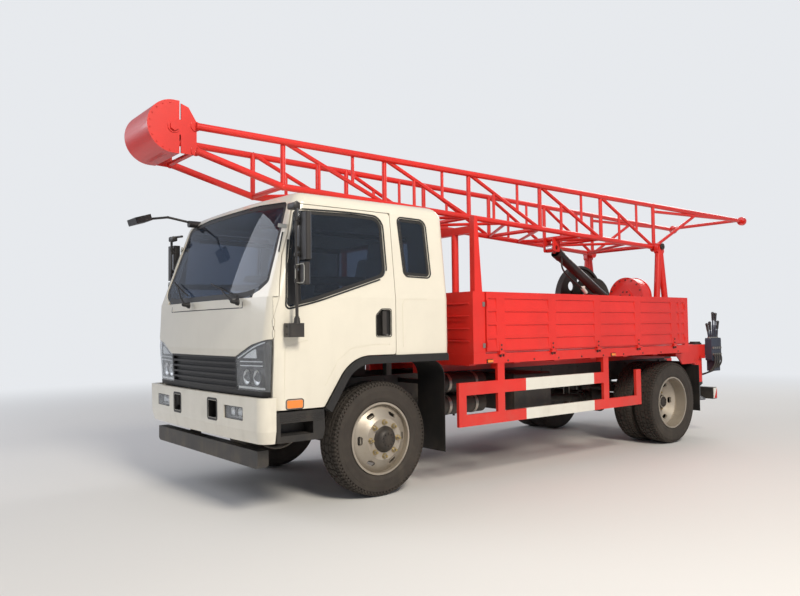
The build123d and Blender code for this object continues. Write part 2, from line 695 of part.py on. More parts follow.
def pressed(points, radius, across=False):
    """A shallow line pressed into the cab's skin, on its left side or across its front."""
    face = trace(FilletPolyline(*points, radius=radius), line_width=GROOVE[0])
    if across:
        run = extrude(Plane.XZ.offset(-FRONT_Y[1]) * face, FRONT_Y[1] - FRONT_Y[0], dir=(0, -1, 0))
    else:
        run = extrude(Plane.YZ.offset(SIDE_X[0]) * face, SIDE_X[1] - SIDE_X[0], dir=(1, 0, 0))
    return run - groove_floor


door_opening = side_cut(door_outline(0), door_radii(0))
screen_cut = front_cut(SCREEN, SCREEN_RADII, FRONT_Y)
lamp_cut = front_cut(LAMP, LAMP_RADII, (CAB_FRONT - 60, DOOR_FRONT))
grille_cut = block((-GRILLE_HALF_WIDTH, GRILLE_HALF_WIDTH), FRONT_Y, (GRILLE_BOTTOM, GRILLE_TOP))


def hinge_room(foot, low, high):
    """Room for a door hinge's barrel, from low to high over its foot."""
    x, y = DOOR_HINGE
    return bar((x, y, foot + low - SEAT), (x, y, foot + high + SEAT), HINGE_BARREL + 3)


def hinge_lugs(foot):
    """The cab's half of both doors' hinges at one height: two lugs and the pin."""
    x, y = DOOR_HINGE
    low = bar((x, y, foot - 14), (x, y, foot - SEAT), HINGE_BARREL)
    high = bar((x, y, foot + HINGE_HEIGHT + SEAT), (x, y, foot + HINGE_HEIGHT + 14), HINGE_BARREL)
    pin = bar((x, y, foot - 14), (x, y, foot + HINGE_HEIGHT + 14), HINGE_ROD)
    return both(fuse(low, high, pin))


def hinge_knuckle(foot):
    """The left door's half of a hinge."""
    x, y = DOOR_HINGE
    barrel = bar((x, y, foot), (x, y, foot + HINGE_HEIGHT), HINGE_BARREL)
    leaf = block((x - HINGE_BARREL, x), (y, y + 24), (foot, foot + HINGE_HEIGHT))
    return fuse(barrel, leaf) - bar((x, y, foot - 20), (x, y, foot + 60), HINGE_ROD + RUNNING)


def door():
    panel = wall(side_cut(door_outline(PANEL_GAP), door_radii(PANEL_GAP)))
    pocket = side_form(HANDLE_POCKET, (CAB_HALF_WIDTH - 26, CAB_HALF_WIDTH + 20), 18)
    panel = panel - side_cut(DOOR_WINDOW, DOOR_WINDOW_RADII) - pocket
    panel = panel - pressed(DOOR_LINE, 40) - pressed(ARCH_LINE, 60)
    for foot in DOOR_HINGES:
        panel = fuse(panel - hinge_room(foot, -16, HINGE_HEIGHT + 16), hinge_knuckle(foot))
    return panel


def door_glass():
    return pane(side_cut(DOOR_WINDOW, DOOR_WINDOW_RADII, SEAT))


def cab_sides():
    """Rear quarters with their small windows, and the windscreen pillars."""
    wall_x = (880, CAB_HALF_WIDTH + 60)
    quarter = wall(block(wall_x, (DOOR_REAR, CAB_REAR + 60), (ARCH_Z, ROOF_SPLIT_Z)))
    quarter = quarter - side_cut(QUARTER_WINDOW, QUARTER_RADII) - pressed(QUARTER_LINE, 40)
    pillar = wall(block((850, CAB_HALF_WIDTH + 60), (CAB_FRONT - 60, -800), (SCREEN_BASE_Z, ROOF_SPLIT_Z)))
    pillar = pillar - door_opening - screen_cut
    return both(quarter) + both(pillar)


def cab_back_wall():
    panel = wall(block((-880, 880), REAR_Y, (ARCH_Z, ROOF_SPLIT_Z)))
    return panel - front_cut(REAR_WINDOW, 60, REAR_Y)


def cab_roof():
    reach = CAB_HALF_WIDTH + 60
    top = wall(block((-reach, reach), (CAB_FRONT, CAB_REAR + 60), (ROOF_SPLIT_Z, CAB_ROOF + 60)))
    return top - screen_cut


def cab_front_panel():
    reach = CAB_HALF_WIDTH + 60
    panel = wall(block((-reach, reach), (CAB_FRONT - 60, DOOR_FRONT), (BUMPER_TOP + SEAT, SCREEN_BASE_Z)))
    for cut in both(lamp_cut):
        panel = panel - cut
    panel = panel - block((-reach, reach), FRONT_Y, (BUMPER_TOP, GRILLE_STRIP_TOP))
    for hinge_z in DOOR_HINGES:
        for room in both(hinge_room(hinge_z, 0, HINGE_HEIGHT)):
            panel = panel - room
        panel = fuse(panel, *hinge_lugs(hinge_z))
    return panel - grille_cut - screen_cut - pressed(PANEL_LINE, 18, across=True)


def cab_floor():
    """The stepped floor over the wheels, with the raised cover over the engine."""
    half = CAB_HALF_WIDTH - CAB_WALL - 10
    front = CAB_FRONT + 120
    low = RAIL_TOP + 4
    back = CAB_REAR
    floor = side_form([(front, low), (-700, low), (-540, ARCH_Z), (back, ARCH_Z), (back, ARCH_Z + 30),
                       (-555, ARCH_Z + 30), (-715, low + 30), (front, low + 30)], (-half, half))
    hump = block((-400, 400), (-720, 420), (ARCH_Z - 5, 1400))
    hump = fillet(hump.edges().group_by(Axis.Z)[-1], 45)
    void = block((-360, 360), (-760, 380), (ARCH_Z - 20, 1365))
    tunnel = block((-360, 360), (-760, 380), (900, ARCH_Z + 100))
    feet = [block((x, x + 60), (480, 540), (RAIL_TOP, ARCH_Z + 2)) for x in (370, -430)]
    tub = (fuse(floor, hump) & cab_form(CAB_WALL + SEAT, 200)) - void - tunnel
    x, y = DOOR_HINGE
    for swing in both(bar((x, y, 800), (x, y, 1500), DOOR_SWEEP)):
        tub = tub - swing
    return fuse(tub, *feet)


def cab_glass():
    screen = pane(front_cut(SCREEN, SCREEN_RADII, FRONT_Y, SEAT))
    quarter = pane(side_cut(QUARTER_WINDOW, QUARTER_RADII, SEAT))
    rear = pane(front_cut(REAR_WINDOW, 60, REAR_Y, SEAT))
    return [screen, *both(quarter), rear]


def dashboard():
    """The dash across the cab, with the column and the steering wheel."""
    front = CAB_FRONT + CAB_WALL + 60
    dash = side_form([(CAB_FRONT, 1280), (front + 240, 1250), (front + 300, 1400), (front + 270, 1560),
                      (front + 60, 1600), (CAB_FRONT, 1590)], (-900, 900), [1, 30, 30, 30, 30, 1])
    wheel_centre = Vector(520, -690, 1620)
    tilt = Plane(origin=wheel_centre, z_dir=(0, 0.5, 1))
    ring = tilt * Torus(215, 15)
    spokes = [tilt * Rot(0, 0, angle) * Pos(105, 0, 0) * Box(215, 34, 14) for angle in (0, 90, 180, 270)]
    boss = tilt * Pos(0, 0, -20) * Cylinder(48, 46)
    column = bar(tuple(wheel_centre), (520, -860, 1300), 32)
    return fuse(dash & cab_form(CAB_WALL + SEAT, 200), ring, *spokes[:3], boss, column)


def seats():
    """Driver's seat, twin passenger seat and the bench behind."""
    floor = ARCH_Z + 30
    def seat(x, half, y):
        base = block((x - half + 30, x + half - 30), (y - 180, y + 180), (floor, floor + 200))
        cushion = side_form([(y - 250, floor + 200), (y + 240, floor + 200), (y + 240, floor + 320),
                             (y - 250, floor + 340)], (x - half, x + half), 40)
        back = side_form([(y + 180, floor + 300), (y + 300, floor + 300), (y + 420, floor + 800),
                          (y + 320, floor + 820)], (x - half, x + half), 40)
        head = side_form([(y + 325, floor + 800), (y + 425, floor + 780), (y + 440, floor + 950),
                          (y + 350, floor + 960)], (x - 125, x + 125), 30)
        return fuse(base, cushion, back, head)
    driver = seat(660, 240, -140)
    passenger = seat(-660, 240, -140)
    return [driver, passenger]


# Front end

def grille():
    """A blind grille: a black pressing with long deep slots, and the strip over the bumper."""
    reach = GRILLE_HALF_WIDTH - SEAT
    slab = cab_form(6) & block((-reach, reach), FRONT_Y, (GRILLE_BOTTOM + SEAT, GRILLE_TOP - SEAT))
    slab = slab - cab_form(60, 200)
    pitch = (GRILLE_TOP - GRILLE_STRIP_TOP - GRILLE_BAR) / GRILLE_SLOTS
    skin = cab_form(36, 200)
    for i in range(GRILLE_SLOTS):
        z = GRILLE_STRIP_TOP + GRILLE_BAR + i * pitch
        slot = block((20 - reach, reach - 20), FRONT_Y, (z, z + pitch - GRILLE_BAR))
        slab = slab - (slot - skin)
    strip_y = (CAB_FRONT - 60, DOOR_FRONT - 2)
    strip = cab_form(4) & block((-1200, 1200), strip_y, (GRILLE_BOTTOM + SEAT, GRILLE_STRIP_TOP - SEAT))
    return fuse(slab, strip - cab_form(44, 200))


def lamps():
    """Headlamps wrapped round the corners, fog lamps in the bumper and side markers."""
    head = cab_form(5) & front_cut(LAMP, LAMP_RADII, (CAB_FRONT - 60, DOOR_FRONT - 2), SEAT)
    head = head - cab_form(CAB_WALL - 1, 200)
    fog = front_form([(FOG_X[0] + SEAT, FOG_Z[0] + SEAT), (FOG_X[1] - SEAT, FOG_Z[0] + SEAT),
                      (FOG_X[1] - SEAT, FOG_Z[1] - SEAT), (FOG_X[0] + SEAT, FOG_Z[1] - SEAT)],
                     (BUMPER_FRONT + 22, BUMPER_FRONT + 90), 8)
    lamp_x = BED_HALF_WIDTH
    markers = [block((lamp_x + SEAT, lamp_x + 14), (y - 40, y + 40), (BED_SILL_BOTTOM + 4, BED_SILL_BOTTOM + 40))
               for y in (1060, 2910)]
    return both(head) + both(fog) + [m for marker in markers for m in both(marker)]


def bumper():
    """The painted bumper: a bowed shell with round corners and its lamp and air openings."""
    def form(inset, back):
        rings = []
        for z, tuck in ((BUMPER_BOTTOM, 22), (BUMPER_BOTTOM + 90, 3), (BUMPER_TOP, 0)):
            w, f, c = CAB_HALF_WIDTH - tuck - inset, BUMPER_FRONT + tuck + inset, 84 - inset
            bow, cut = 30, 1 - sqrt(0.5)
            edges = [
                ThreePointArc((c - w, f + bow), (0, f), (w - c, f + bow)),
                ThreePointArc((w - c, f + bow), (w - c * cut, f + bow + c * cut), (w, f + bow + c)),
                Line((w, f + bow + c), (w, back)),
                Line((w, back), (-w, back)),
                Line((-w, back), (-w, f + bow + c)),
                ThreePointArc((-w, f + bow + c), (c * cut - w, f + bow + c * cut), (c - w, f + bow)),
            ]
            rings.append(Plane.XY.offset(z) * make_face(edges))
        return loft(rings, ruled=True)
    back = BUMPER_REAR
    wall = 40
    shell = form(0, back) - form(wall, back + 10)
    reach = (BUMPER_FRONT - 20, back - 20)
    for side in (-1, 1):
        low, high = sorted((side * FOG_X[0], side * FOG_X[1]))
        shell = shell - front_form([(low, FOG_Z[0]), (high, FOG_Z[0]), (high, FOG_Z[1]), (low, FOG_Z[1])], reach, 8)
        low, high = sorted((side * 290, side * 430))
        shell = shell - front_form([(low, 700), (high, 700), (high, 835), (low, 835)], reach, 10)
    stays = [block((x, x + 40), (BUMPER_FRONT + 30, RAIL_FRONT), (740, 860)) for x in (390, -430)]
    return fuse(shell, *stays)


def underrun_bars():
    """The black beam under the bumper and the one across the rear."""
    low, high = UNDERRUN_Z
    half = UNDERRUN_HALF
    front = front_form([(-half, low + 20), (-half + 30, low), (half - 30, low), (half, low + 20),
                        (half, high), (-half, high)], (-1140, -1050))
    hangers = [block((x, x + 12), (-1060, -962), (low + 30, RAIL_TOP - 20))
               for x in (RAIL_OUTER_X + SEAT, -RAIL_OUTER_X - 12 - SEAT)]
    rear_y = (DECK_REAR + 20, DECK_REAR + 110)
    rear = block((-REAR_BAR_HALF, REAR_BAR_HALF), rear_y, REAR_BAR_Z)
    legs = [block((x, x + 16), (DECK_REAR - 160, DECK_REAR + 30), (REAR_BAR_Z[0] + 10, RAIL_TOP - 20))
            for x in (RAIL_OUTER_X + SEAT, -RAIL_OUTER_X - 16 - SEAT)]
    return [fuse(front, *hangers), fuse(rear, *legs)]


def steps_and_mudguards():
    """Entry steps, wheel arch trims with their liners, and the mud flaps."""
    outer = CAB_HALF_WIDTH - 10
    front = BUMPER_REAR + MOVING_GAP
    step = side_form([(front, 560), (-660, 560), (-640, 640), (ARCH_FOOT - 8, CAB_BASE_Z - 8), (front, CAB_BASE_Z - 8)],
                     (850, outer), 12)
    step = step - block((980, outer + 20), (-1020, -745), (610, 700))
    arm = block((RAIL_OUTER_X + SEAT, 870), (-950, -870), (740, CAB_BASE_Z - 10))
    (slope_y, slope_z), width = ARCH_SLOPE, ARCH_TRIM
    length = hypot(slope_y, slope_z)
    low_y = ARCH_FOOT
    turn_y = low_y + (ARCH_Z - CAB_BASE_Z) * slope_y / slope_z
    in_y, in_z = width * slope_z / length, -width * slope_y / length
    inner_turn = low_y + in_y + (ARCH_Z - width - CAB_BASE_Z - in_z) * slope_y / slope_z
    drop = MOVING_GAP - PANEL_GAP
    trim = side_form([(low_y, CAB_BASE_Z - drop), (turn_y, ARCH_Z - drop), (DOOR_REAR - 1, ARCH_Z - drop),
                      (DOOR_REAR - 1, ARCH_Z), (620, ARCH_Z), (620, ARCH_Z - width),
                      (inner_turn, ARCH_Z - width), (low_y + in_y, CAB_BASE_Z + in_z - drop)],
                     (CAB_HALF_WIDTH - 60, CAB_HALF_WIDTH + 8),
                     [1, ARCH_CORNER, 0.5, 0.5, 20, 1, ARCH_CORNER - width, 1])
    flap_y = 612
    liner = sheet([(flap_y, 310), (flap_y, ARCH_Z - width + 4), (inner_turn, ARCH_Z - width + 4),
                   (low_y + in_y + 3, CAB_BASE_Z + in_z)], ARCH_LINER_BEND, 6, (730, CAB_HALF_WIDTH - 40))
    post = block((RAIL_OUTER_X + SEAT, 735), (flap_y - 2, flap_y + 40), (880, 920))
    rear_y = REAR_AXLE + 590
    rear_flap = front_form([(600, 330), (1110, 330), (1110, 890), (1000, 890), (1000, 930), (600, 930)],
                           (rear_y, rear_y + 7))
    rear_post = block((RAIL_OUTER_X + SEAT, 620), (rear_y - 20, rear_y + 20), (880, 920))
    return both(fuse(step, arm)) + both(fuse(trim, liner, post)) + both(fuse(rear_flap, rear_post))


def mirror_and_handle():
    """Left door's mirror arm with its tall and small heads, lower bracket and handle."""
    arm_x, arm_y = MIRROR_ARM
    pole = bar((arm_x, arm_y, 1400), (arm_x, arm_y, 2322), 12)
    upper = bar((arm_x, arm_y, 2312), (CAB_HALF_WIDTH - 75, arm_y + 45, 2312), 11)
    foot = block((CAB_HALF_WIDTH + SEAT, arm_x + 20), (arm_y - 68, arm_y + 58), (1330, 1432))
    foot = fillet(foot.edges().filter_by(Axis.Z), 20)
    tall = plan_form([(arm_x - 12, arm_y + 24), (arm_x + 122, arm_y + 8), (arm_x + 128, arm_y + 48),
                      (arm_x + 30, arm_y + 92), (arm_x - 16, arm_y + 84)], (1890, 2236), 16)
    small = plan_form([(arm_x - 8, arm_y + 14), (arm_x + 108, arm_y + 4), (arm_x + 114, arm_y + 44),
                       (arm_x + 28, arm_y + 84), (arm_x - 12, arm_y + 76)], (1712, 1872), 16)
    arms = [block((arm_x - 9, arm_x + 9), (arm_y, arm_y + 40), (z, z + 26)) for z in (1960, 2150, 1780)]
    handle = fuse(block((CAB_HALF_WIDTH - 14, CAB_HALF_WIDTH + 4), (-92, -52), (1336, 1526)),
                  block((CAB_HALF_WIDTH - 26 + SEAT, CAB_HALF_WIDTH - 13), (-92, -52), (1336, 1380)),
                  block((CAB_HALF_WIDTH - 26 + SEAT, CAB_HALF_WIDTH - 13), (-92, -52), (1490, 1526)))
    return [fuse(pole, upper, foot, tall, small, *arms), handle]


def front_mirror():
    """The kerb mirror on its curved arm at the roof's front right corner."""
    start = (-800, CAB_FRONT + 360, 2400)
    knee = (-850, CAB_FRONT + 60, 2455)
    tip = (-960, CAB_FRONT - 90, 2440)
    foot = bar((-800, CAB_FRONT + 240, 2400), start, 32)
    arm = fuse(bar(start, knee, 11), Pos(*knee) * Sphere(13), bar(knee, tip, 11), foot) - cab_form(-SEAT)
    head = Pos(-980, CAB_FRONT - 160, 2425) * Rot(18, 0, 0) * Box(230, 150, 60)
    return fuse(arm, head)


# Bed

def bed_frame():
    """Floor, side sills, long sills on the rails, cross bearers and the corner posts."""
    half, top = BED_HALF_WIDTH, BED_FLOOR_TOP
    under = top - BED_FLOOR_THICKNESS
    sill_top = top - BED_SILL_STEP
    floor = block((BED_SILL - half, half - BED_SILL), (BED_FRONT + BED_SILL, BED_REAR), (under, top))
    parts = [floor, block((-half, half), (BED_FRONT, BED_FRONT + BED_SILL + 1), (under, sill_top))]
    posts = []
    for side in (-1, 1):
        low, high = sorted((side * (half - BED_SILL - 1), side * half))
        parts.append(block((low, high), (BED_FRONT, BED_REAR), (BED_SILL_BOTTOM, sill_top)))
        low, high = sorted((side * (RAIL_OUTER_X - RAIL_FLANGE), side * RAIL_OUTER_X))
        parts.append(block((low, high), (BED_FRONT, BED_REAR), (RAIL_TOP, under - 70)))
        low, high = sorted((side * (half - BED_WALL), side * half))
        for y in ((BED_FRONT, BED_FRONT + BED_POST), (BED_REAR - 80, BED_REAR)):
            posts.append(block((low, high), y, (sill_top + SEAT, BED_SIDE_TOP)))
    bearers = 7
    pitch = (BED_REAR - BED_FRONT - 80) / (bearers - 1)
    for i in range(bearers):
        y = BED_FRONT + i * pitch
        parts.append(block((BED_SILL - half, half - BED_SILL), (y, y + 80), (under - 72, under + 1)))
    frame = fuse(*parts)
    for side in (-1, 1):
        for i in range(RIB_COUNT):
            y = RIB_FIRST + i * RIB_PITCH
            for offset_y in (-42, 28):
                x0, x1 = sorted((side * (half - 2), side * (HINGE_X + HINGE_KNUCKLE)))
                ear = block((x0, x1), (y + offset_y, y + offset_y + 14),
                            (top - HINGE_KNUCKLE, top + HINGE_KNUCKLE - 8))
                frame = frame + ear
            frame = frame + bar((side * HINGE_X, y - 36, top), (side * HINGE_X, y + 36, top), HINGE_PIN)
    return [frame, *posts]


def bed_headboard():
    half = BED_HALF_WIDTH - BED_WALL - SEAT
    foot = BED_FLOOR_TOP - BED_SILL_STEP + SEAT
    board = block((-half, half), (BED_FRONT, BED_FRONT + 40), (foot, BED_SIDE_TOP))
    for z in (1260, 1420, 1580):
        board = board - block((60 - half, half - 60), (BED_FRONT - 5, BED_FRONT + 9), (z, z + 22))
    return board


def drop_side():
    """The left drop side: a ribbed pressing with its hinge knuckles along the foot."""
    half = BED_HALF_WIDTH
    y = (BED_FRONT + BED_POST + PANEL_GAP, BED_REAR - 80 - PANEL_GAP)
    low, high = BED_FLOOR_TOP + MOVING_GAP, BED_SIDE_TOP
    panel = block((half - BED_WALL, half), y, (low, high))
    rows = 5
    pitch = (high - 75 - low) / (rows - 0.35)
    spans = [y[0] + 25] + [RIB_FIRST + i * RIB_PITCH for i in range(RIB_COUNT)] + [y[1] - 25]
    for row in range(1, rows + 1):
        z = low + row * pitch - 10
        for a, b in zip(spans, spans[1:]):
            start = a + (RIB_WIDTH / 2 if a in spans[1:-1] else 0)
            stop = b - (RIB_WIDTH / 2 if b in spans[1:-1] else 0)
            if stop - start > 30 and z + 18 < high:
                panel = panel - block((half - 10, half + 5), (start, stop), (z, z + 16))
    for i in range(RIB_COUNT):
        centre = RIB_FIRST + i * RIB_PITCH
        knuckle_y = (centre - 26, centre + 26)
        strap = block((half - 1, half + 7), knuckle_y, (BED_FLOOR_TOP, BED_FLOOR_TOP + 95))
        eye = bar((HINGE_X, knuckle_y[0], BED_FLOOR_TOP), (HINGE_X, knuckle_y[1], BED_FLOOR_TOP), HINGE_KNUCKLE)
        strap_foot = block((half + 1, HINGE_X), knuckle_y, (BED_FLOOR_TOP, BED_FLOOR_TOP + HINGE_KNUCKLE))
        hole = bar((HINGE_X, centre - 60, BED_FLOOR_TOP), (HINGE_X, centre + 60, BED_FLOOR_TOP),
                   HINGE_PIN + RUNNING)
        panel = fuse(panel, strap, strap_foot, eye) - hole
    return panel


def side_guards():
    """The side guard of each side: two rails, posts and hangers up to the bed."""
    x = (GUARD_X, GUARD_X + GUARD_THICKNESS)
    parts = []
    for low, high in GUARD_RAILS:
        rear = GUARD_REAR if low == GUARD_RAILS[0][0] else GUARD_POSTS[2] + GUARD_POST_WIDTH
        parts.append(block(x, (GUARD_FRONT, rear), (low, high)))
    for i, y in enumerate(GUARD_POSTS):
        top = BED_SILL_BOTTOM if i in (1, 2) else GUARD_RAILS[1][1]
        parts.append(block(x, (y, y + GUARD_POST_WIDTH), (GUARD_RAILS[0][0], top)))
    back_x = (GUARD_X - 60, GUARD_X + 2)
    for i in (1, 2):
        y = GUARD_POSTS[i]
        parts.append(block(back_x, (y, y + GUARD_POST_WIDTH), (BED_SILL_BOTTOM - 50, BED_SILL_BOTTOM)))
    return both(fuse(*parts))


# Rear deck, posts and mast

def rear_deck():
    """The deck behind the bed with its gussets, braces and the rotary table's arms."""
    half = 1030
    deck_z = (1000, DECK_TOP)
    top_plate = block((-half, half), (BED_REAR + SEAT, DECK_REAR), (deck_z[1] - 20, deck_z[1]))
    parts = [top_plate]
    for side in (-1, 1):
        low, high = sorted((side * (half - 40), side * half))
        parts.append(block((low, high), (BED_REAR + SEAT, DECK_REAR), deck_z))
        low, high = sorted((side * (RAIL_OUTER_X - RAIL_FLANGE), side * RAIL_OUTER_X))
        parts.append(block((low, high), (BED_REAR + SEAT, DECK_REAR), (RAIL_TOP, deck_z[1] - 10)))
        gusset = side_form([(4440, 1010), (4980, 1010), (4900, 905), (4560, 905)],
                           sorted((side * (half - 14), side * half)))
        parts.append(gusset)
        brace = bar((side * (half - 20), 4830, 950), (side * (JACK_X + 30), JACK_Y + 5, 690), 24)
        parts.append(brace)
    for y in (BED_REAR + SEAT, DECK_REAR - 40):
        parts.append(block((-half, half), (y, y + 40), deck_z))
    for tread in both(block(TREAD_PLATE_X, TREAD_PLATE_Y, (DECK_TOP - 1, DECK_TOP + TREAD_PLATE))):
        parts.append(tread)
    deck = fuse(*parts)
    for side in (-1, 1):
        collar = bar((side * JACK_X, JACK_Y, 640), (side * JACK_X, JACK_Y, deck_z[1]), JACK_TUBE_RADIUS + 12)
        bore = bar((side * JACK_X, JACK_Y, 500), (side * JACK_X, JACK_Y, 1300), JACK_TUBE_RADIUS + SEAT)
        tie = block(sorted((side * (half - 60), side * half)), (JACK_Y - 60, JACK_Y + 60), (960, deck_z[1]))
        ring = fuse(deck, collar, tie) - bore
        deck = ring
    arms = [block((x, x + 60), (DECK_REAR - 60, TABLE_Y + 120), (TABLE_Z[0] - 60, TABLE_Z[0])) for x in (215, -275)]
    roots = [block((x, x + 60), (DECK_REAR - 60, DECK_REAR), (TABLE_Z[0] - 60, deck_z[0] + 10)) for x in (215, -275)]
    return fuse(deck, *arms, *roots)


def jack_tubes():
    """The fixed outer tubes of the rear jacks, each with its cap."""
    tube = bar((JACK_X, JACK_Y, 620), (JACK_X, JACK_Y, JACK_TOP + 140), JACK_TUBE_RADIUS)
    bore = bar((JACK_X, JACK_Y, 600), (JACK_X, JACK_Y, JACK_TOP + 120), JACK_LEG_RADIUS + RUNNING)
    return both(tube - bore)


def jack_leg():
    """The left jack's sliding leg and its round foot."""
    leg = bar((JACK_X, JACK_Y, JACK_FOOT_Z + 20), (JACK_X, JACK_Y, JACK_TOP + 100), JACK_LEG_RADIUS)
    foot = turned_up([(0, 0), (JACK_FOOT_RADIUS, 0), (JACK_FOOT_RADIUS, 18), (60, 42), (0, 42)])
    return leg + Pos(JACK_X, JACK_Y, JACK_FOOT_Z) * foot


def turned_up(points):
    """An (r, z) outline turned about the Z axis."""
    return revolve(Plane.XZ * make_face(Polyline(*points, close=True)), Axis.Z)


def control_levers():
    """The valve bank at the rear left corner with its row of levers."""
    x = (1036, 1120)
    y0 = DECK_REAR - 60
    bank = block(x, (y0, y0 + 240), (930, 1215))
    bank = fillet(bank.edges().filter_by(Axis.X), 22)
    bracket = block((1030 + SEAT, 1060), (y0, y0 + 55), (1010, 1125))
    parts = [bank, bracket]
    for i, (lean, height) in enumerate(((-40, 150), (-20, 170), (10, 290), (30, 280), (35, 180))):
        y = y0 + 30 + i * 45
        parts.append(bar((1078, y, 1200), (1078, y + lean, 1200 + height), 9))
    box = block((1020, 1120), (y0 + 60, y0 + 200), (800, 931))
    return fuse(*parts, box)


def mast_point(station, side, level):
    """A joint of the mast: station 0 at the front kink to MAST_PANELS at the pivots."""
    share = station / MAST_PANELS
    y = PIVOT_Y - (MAST_PANELS - station) * MAST_PANEL
    half = MAST_FRONT_HALF + (MAST_REAR_HALF - MAST_FRONT_HALF) * share
    low = PIVOT_Z + MAST_KINK_RISE * (1 - share)
    height = MAST_FRONT_HEIGHT + (MAST_REAR_HEIGHT - MAST_FRONT_HEIGHT) * share
    return (side * half, y, low + height * level)


def between(a, b, share):
    return tuple(p + (q - p) * share for p, q in zip(a, b))


def head_point(side, level):
    """Where the chords run into the crown's side plates."""
    _, y, z = mast_point(0, side, 1)
    return (side * MAST_FRONT_HALF, y - MAST_HEAD_LENGTH, z + (0 if level else -200))


def tail_point(side):
    return (side * TAIL_HALF, PIVOT_Y + TAIL_LENGTH, mast_point(MAST_PANELS, side, 1)[2] - 28)


def mast_side(side):
    """One side truss: chords, verticals, diagonals, the short props and the tail."""
    def joint(station, level):
        return mast_point(station, side, level)
    r, b = CHORD_RADIUS, BRACE_RADIUS
    top_end, tail = joint(MAST_PANELS, 1), tail_point(side)
    parts = [
        bar(head_point(side, 1), top_end, r),
        bar(head_point(side, 0), joint(0, 0), r),
        bar(joint(0, 0), joint(MAST_PANELS, 0), r),
        bar(top_end, tail, r),
        Pos(*top_end) * Sphere(r + 3),
        Pos(*joint(0, 0)) * Sphere(r + 3),
        bar(joint(MAST_PANELS, 0), between(top_end, tail, 0.5), b),
        bar(between(joint(MAST_PANELS, 0), top_end, 0.86), between(top_end, tail, 0.97), b),
    ]
    for station in range(MAST_PANELS + 1):
        parts.append(bar(joint(station, 0), joint(station, 1), b + 3))
    for station in range(MAST_PANELS):
        high, low = joint(station, 1), joint(station + 1, 0)
        parts.append(bar(high, low, b))
        third = station + 1 / 3
        parts.append(bar(joint(third, 0), between(high, low, 1 / 3), b - 4))
        third = station + 2 / 3
        parts.append(bar(joint(third, 1), between(high, low, 2 / 3), b - 4))
    foot_start = tail
    foot_end = (tail[0], tail[1] + TAIL_FOOT - 45, tail[2])
    parts.append(bar(foot_start, foot_end, b))
    parts.append(bar(foot_end, (tail[0], tail[1] + TAIL_FOOT, tail[2]), FOOT_RADIUS))
    truss = fuse(*parts)
    ear = bar((side * (MAST_REAR_HALF - 24), PIVOT_Y, PIVOT_Z), (side * (MAST_REAR_HALF + 24), PIVOT_Y, PIVOT_Z), 58)
    hole = bar((side * 300, PIVOT_Y, PIVOT_Z), (side * 640, PIVOT_Y, PIVOT_Z), RAM_PIN_RADIUS + RUNNING)
    return truss + ear - hole


left_truss = mast_side(1)
right_truss = flip(left_truss)


def mast_braces():
    """Cross members and zigzag of the mast's underside, the tail tie and the ram's lugs."""
    b = BRACE_RADIUS
    parts = []
    for station in range(MAST_PANELS):
        parts.append(bar(mast_point(station, -1, 0), mast_point(station, 1, 0), b + 2))
        side = 1 if station % 2 else -1
        parts.append(bar(mast_point(station, side, 0), mast_point(station + 0.5, -side, 0), b - 3))
        stop = min(station + 1, MAST_PANELS - 0.12)
        parts.append(bar(mast_point(station + 0.5, -side, 0), mast_point(stop, side, 0), b - 3))
    tie_y = MAST_PANELS - 0.12
    parts.append(bar(mast_point(tie_y, -1, 0), mast_point(tie_y, 1, 0), b + 6))
    tail_left, tail_right = tail_point(1), tail_point(-1)
    parts.append(bar(tail_left, tail_right, b + 4))
    eye_y, eye_z = RAM_EYE
    station = (eye_y - (PIVOT_Y - MAST_PANELS * MAST_PANEL)) / MAST_PANEL
    left_end, right_end = mast_point(station, 1, 0), mast_point(station, -1, 0)
    parts.append(bar(right_end, left_end, b + 8))
    braces = fuse(*parts)
    lug_top = left_end[2] + 20
    for x in (62, -80):
        lug = side_form([(eye_y - 60, eye_z - 50), (eye_y + 60, eye_z - 50), (eye_y + 70, lug_top),
                         (eye_y - 70, lug_top)], (x, x + 18), 20)
        hole = bar((x - 5, eye_y, eye_z), (x + 30, eye_y, eye_z), RAM_PIN_RADIUS + 2)
        braces = braces + lug - hole
    return braces - left_truss - right_truss


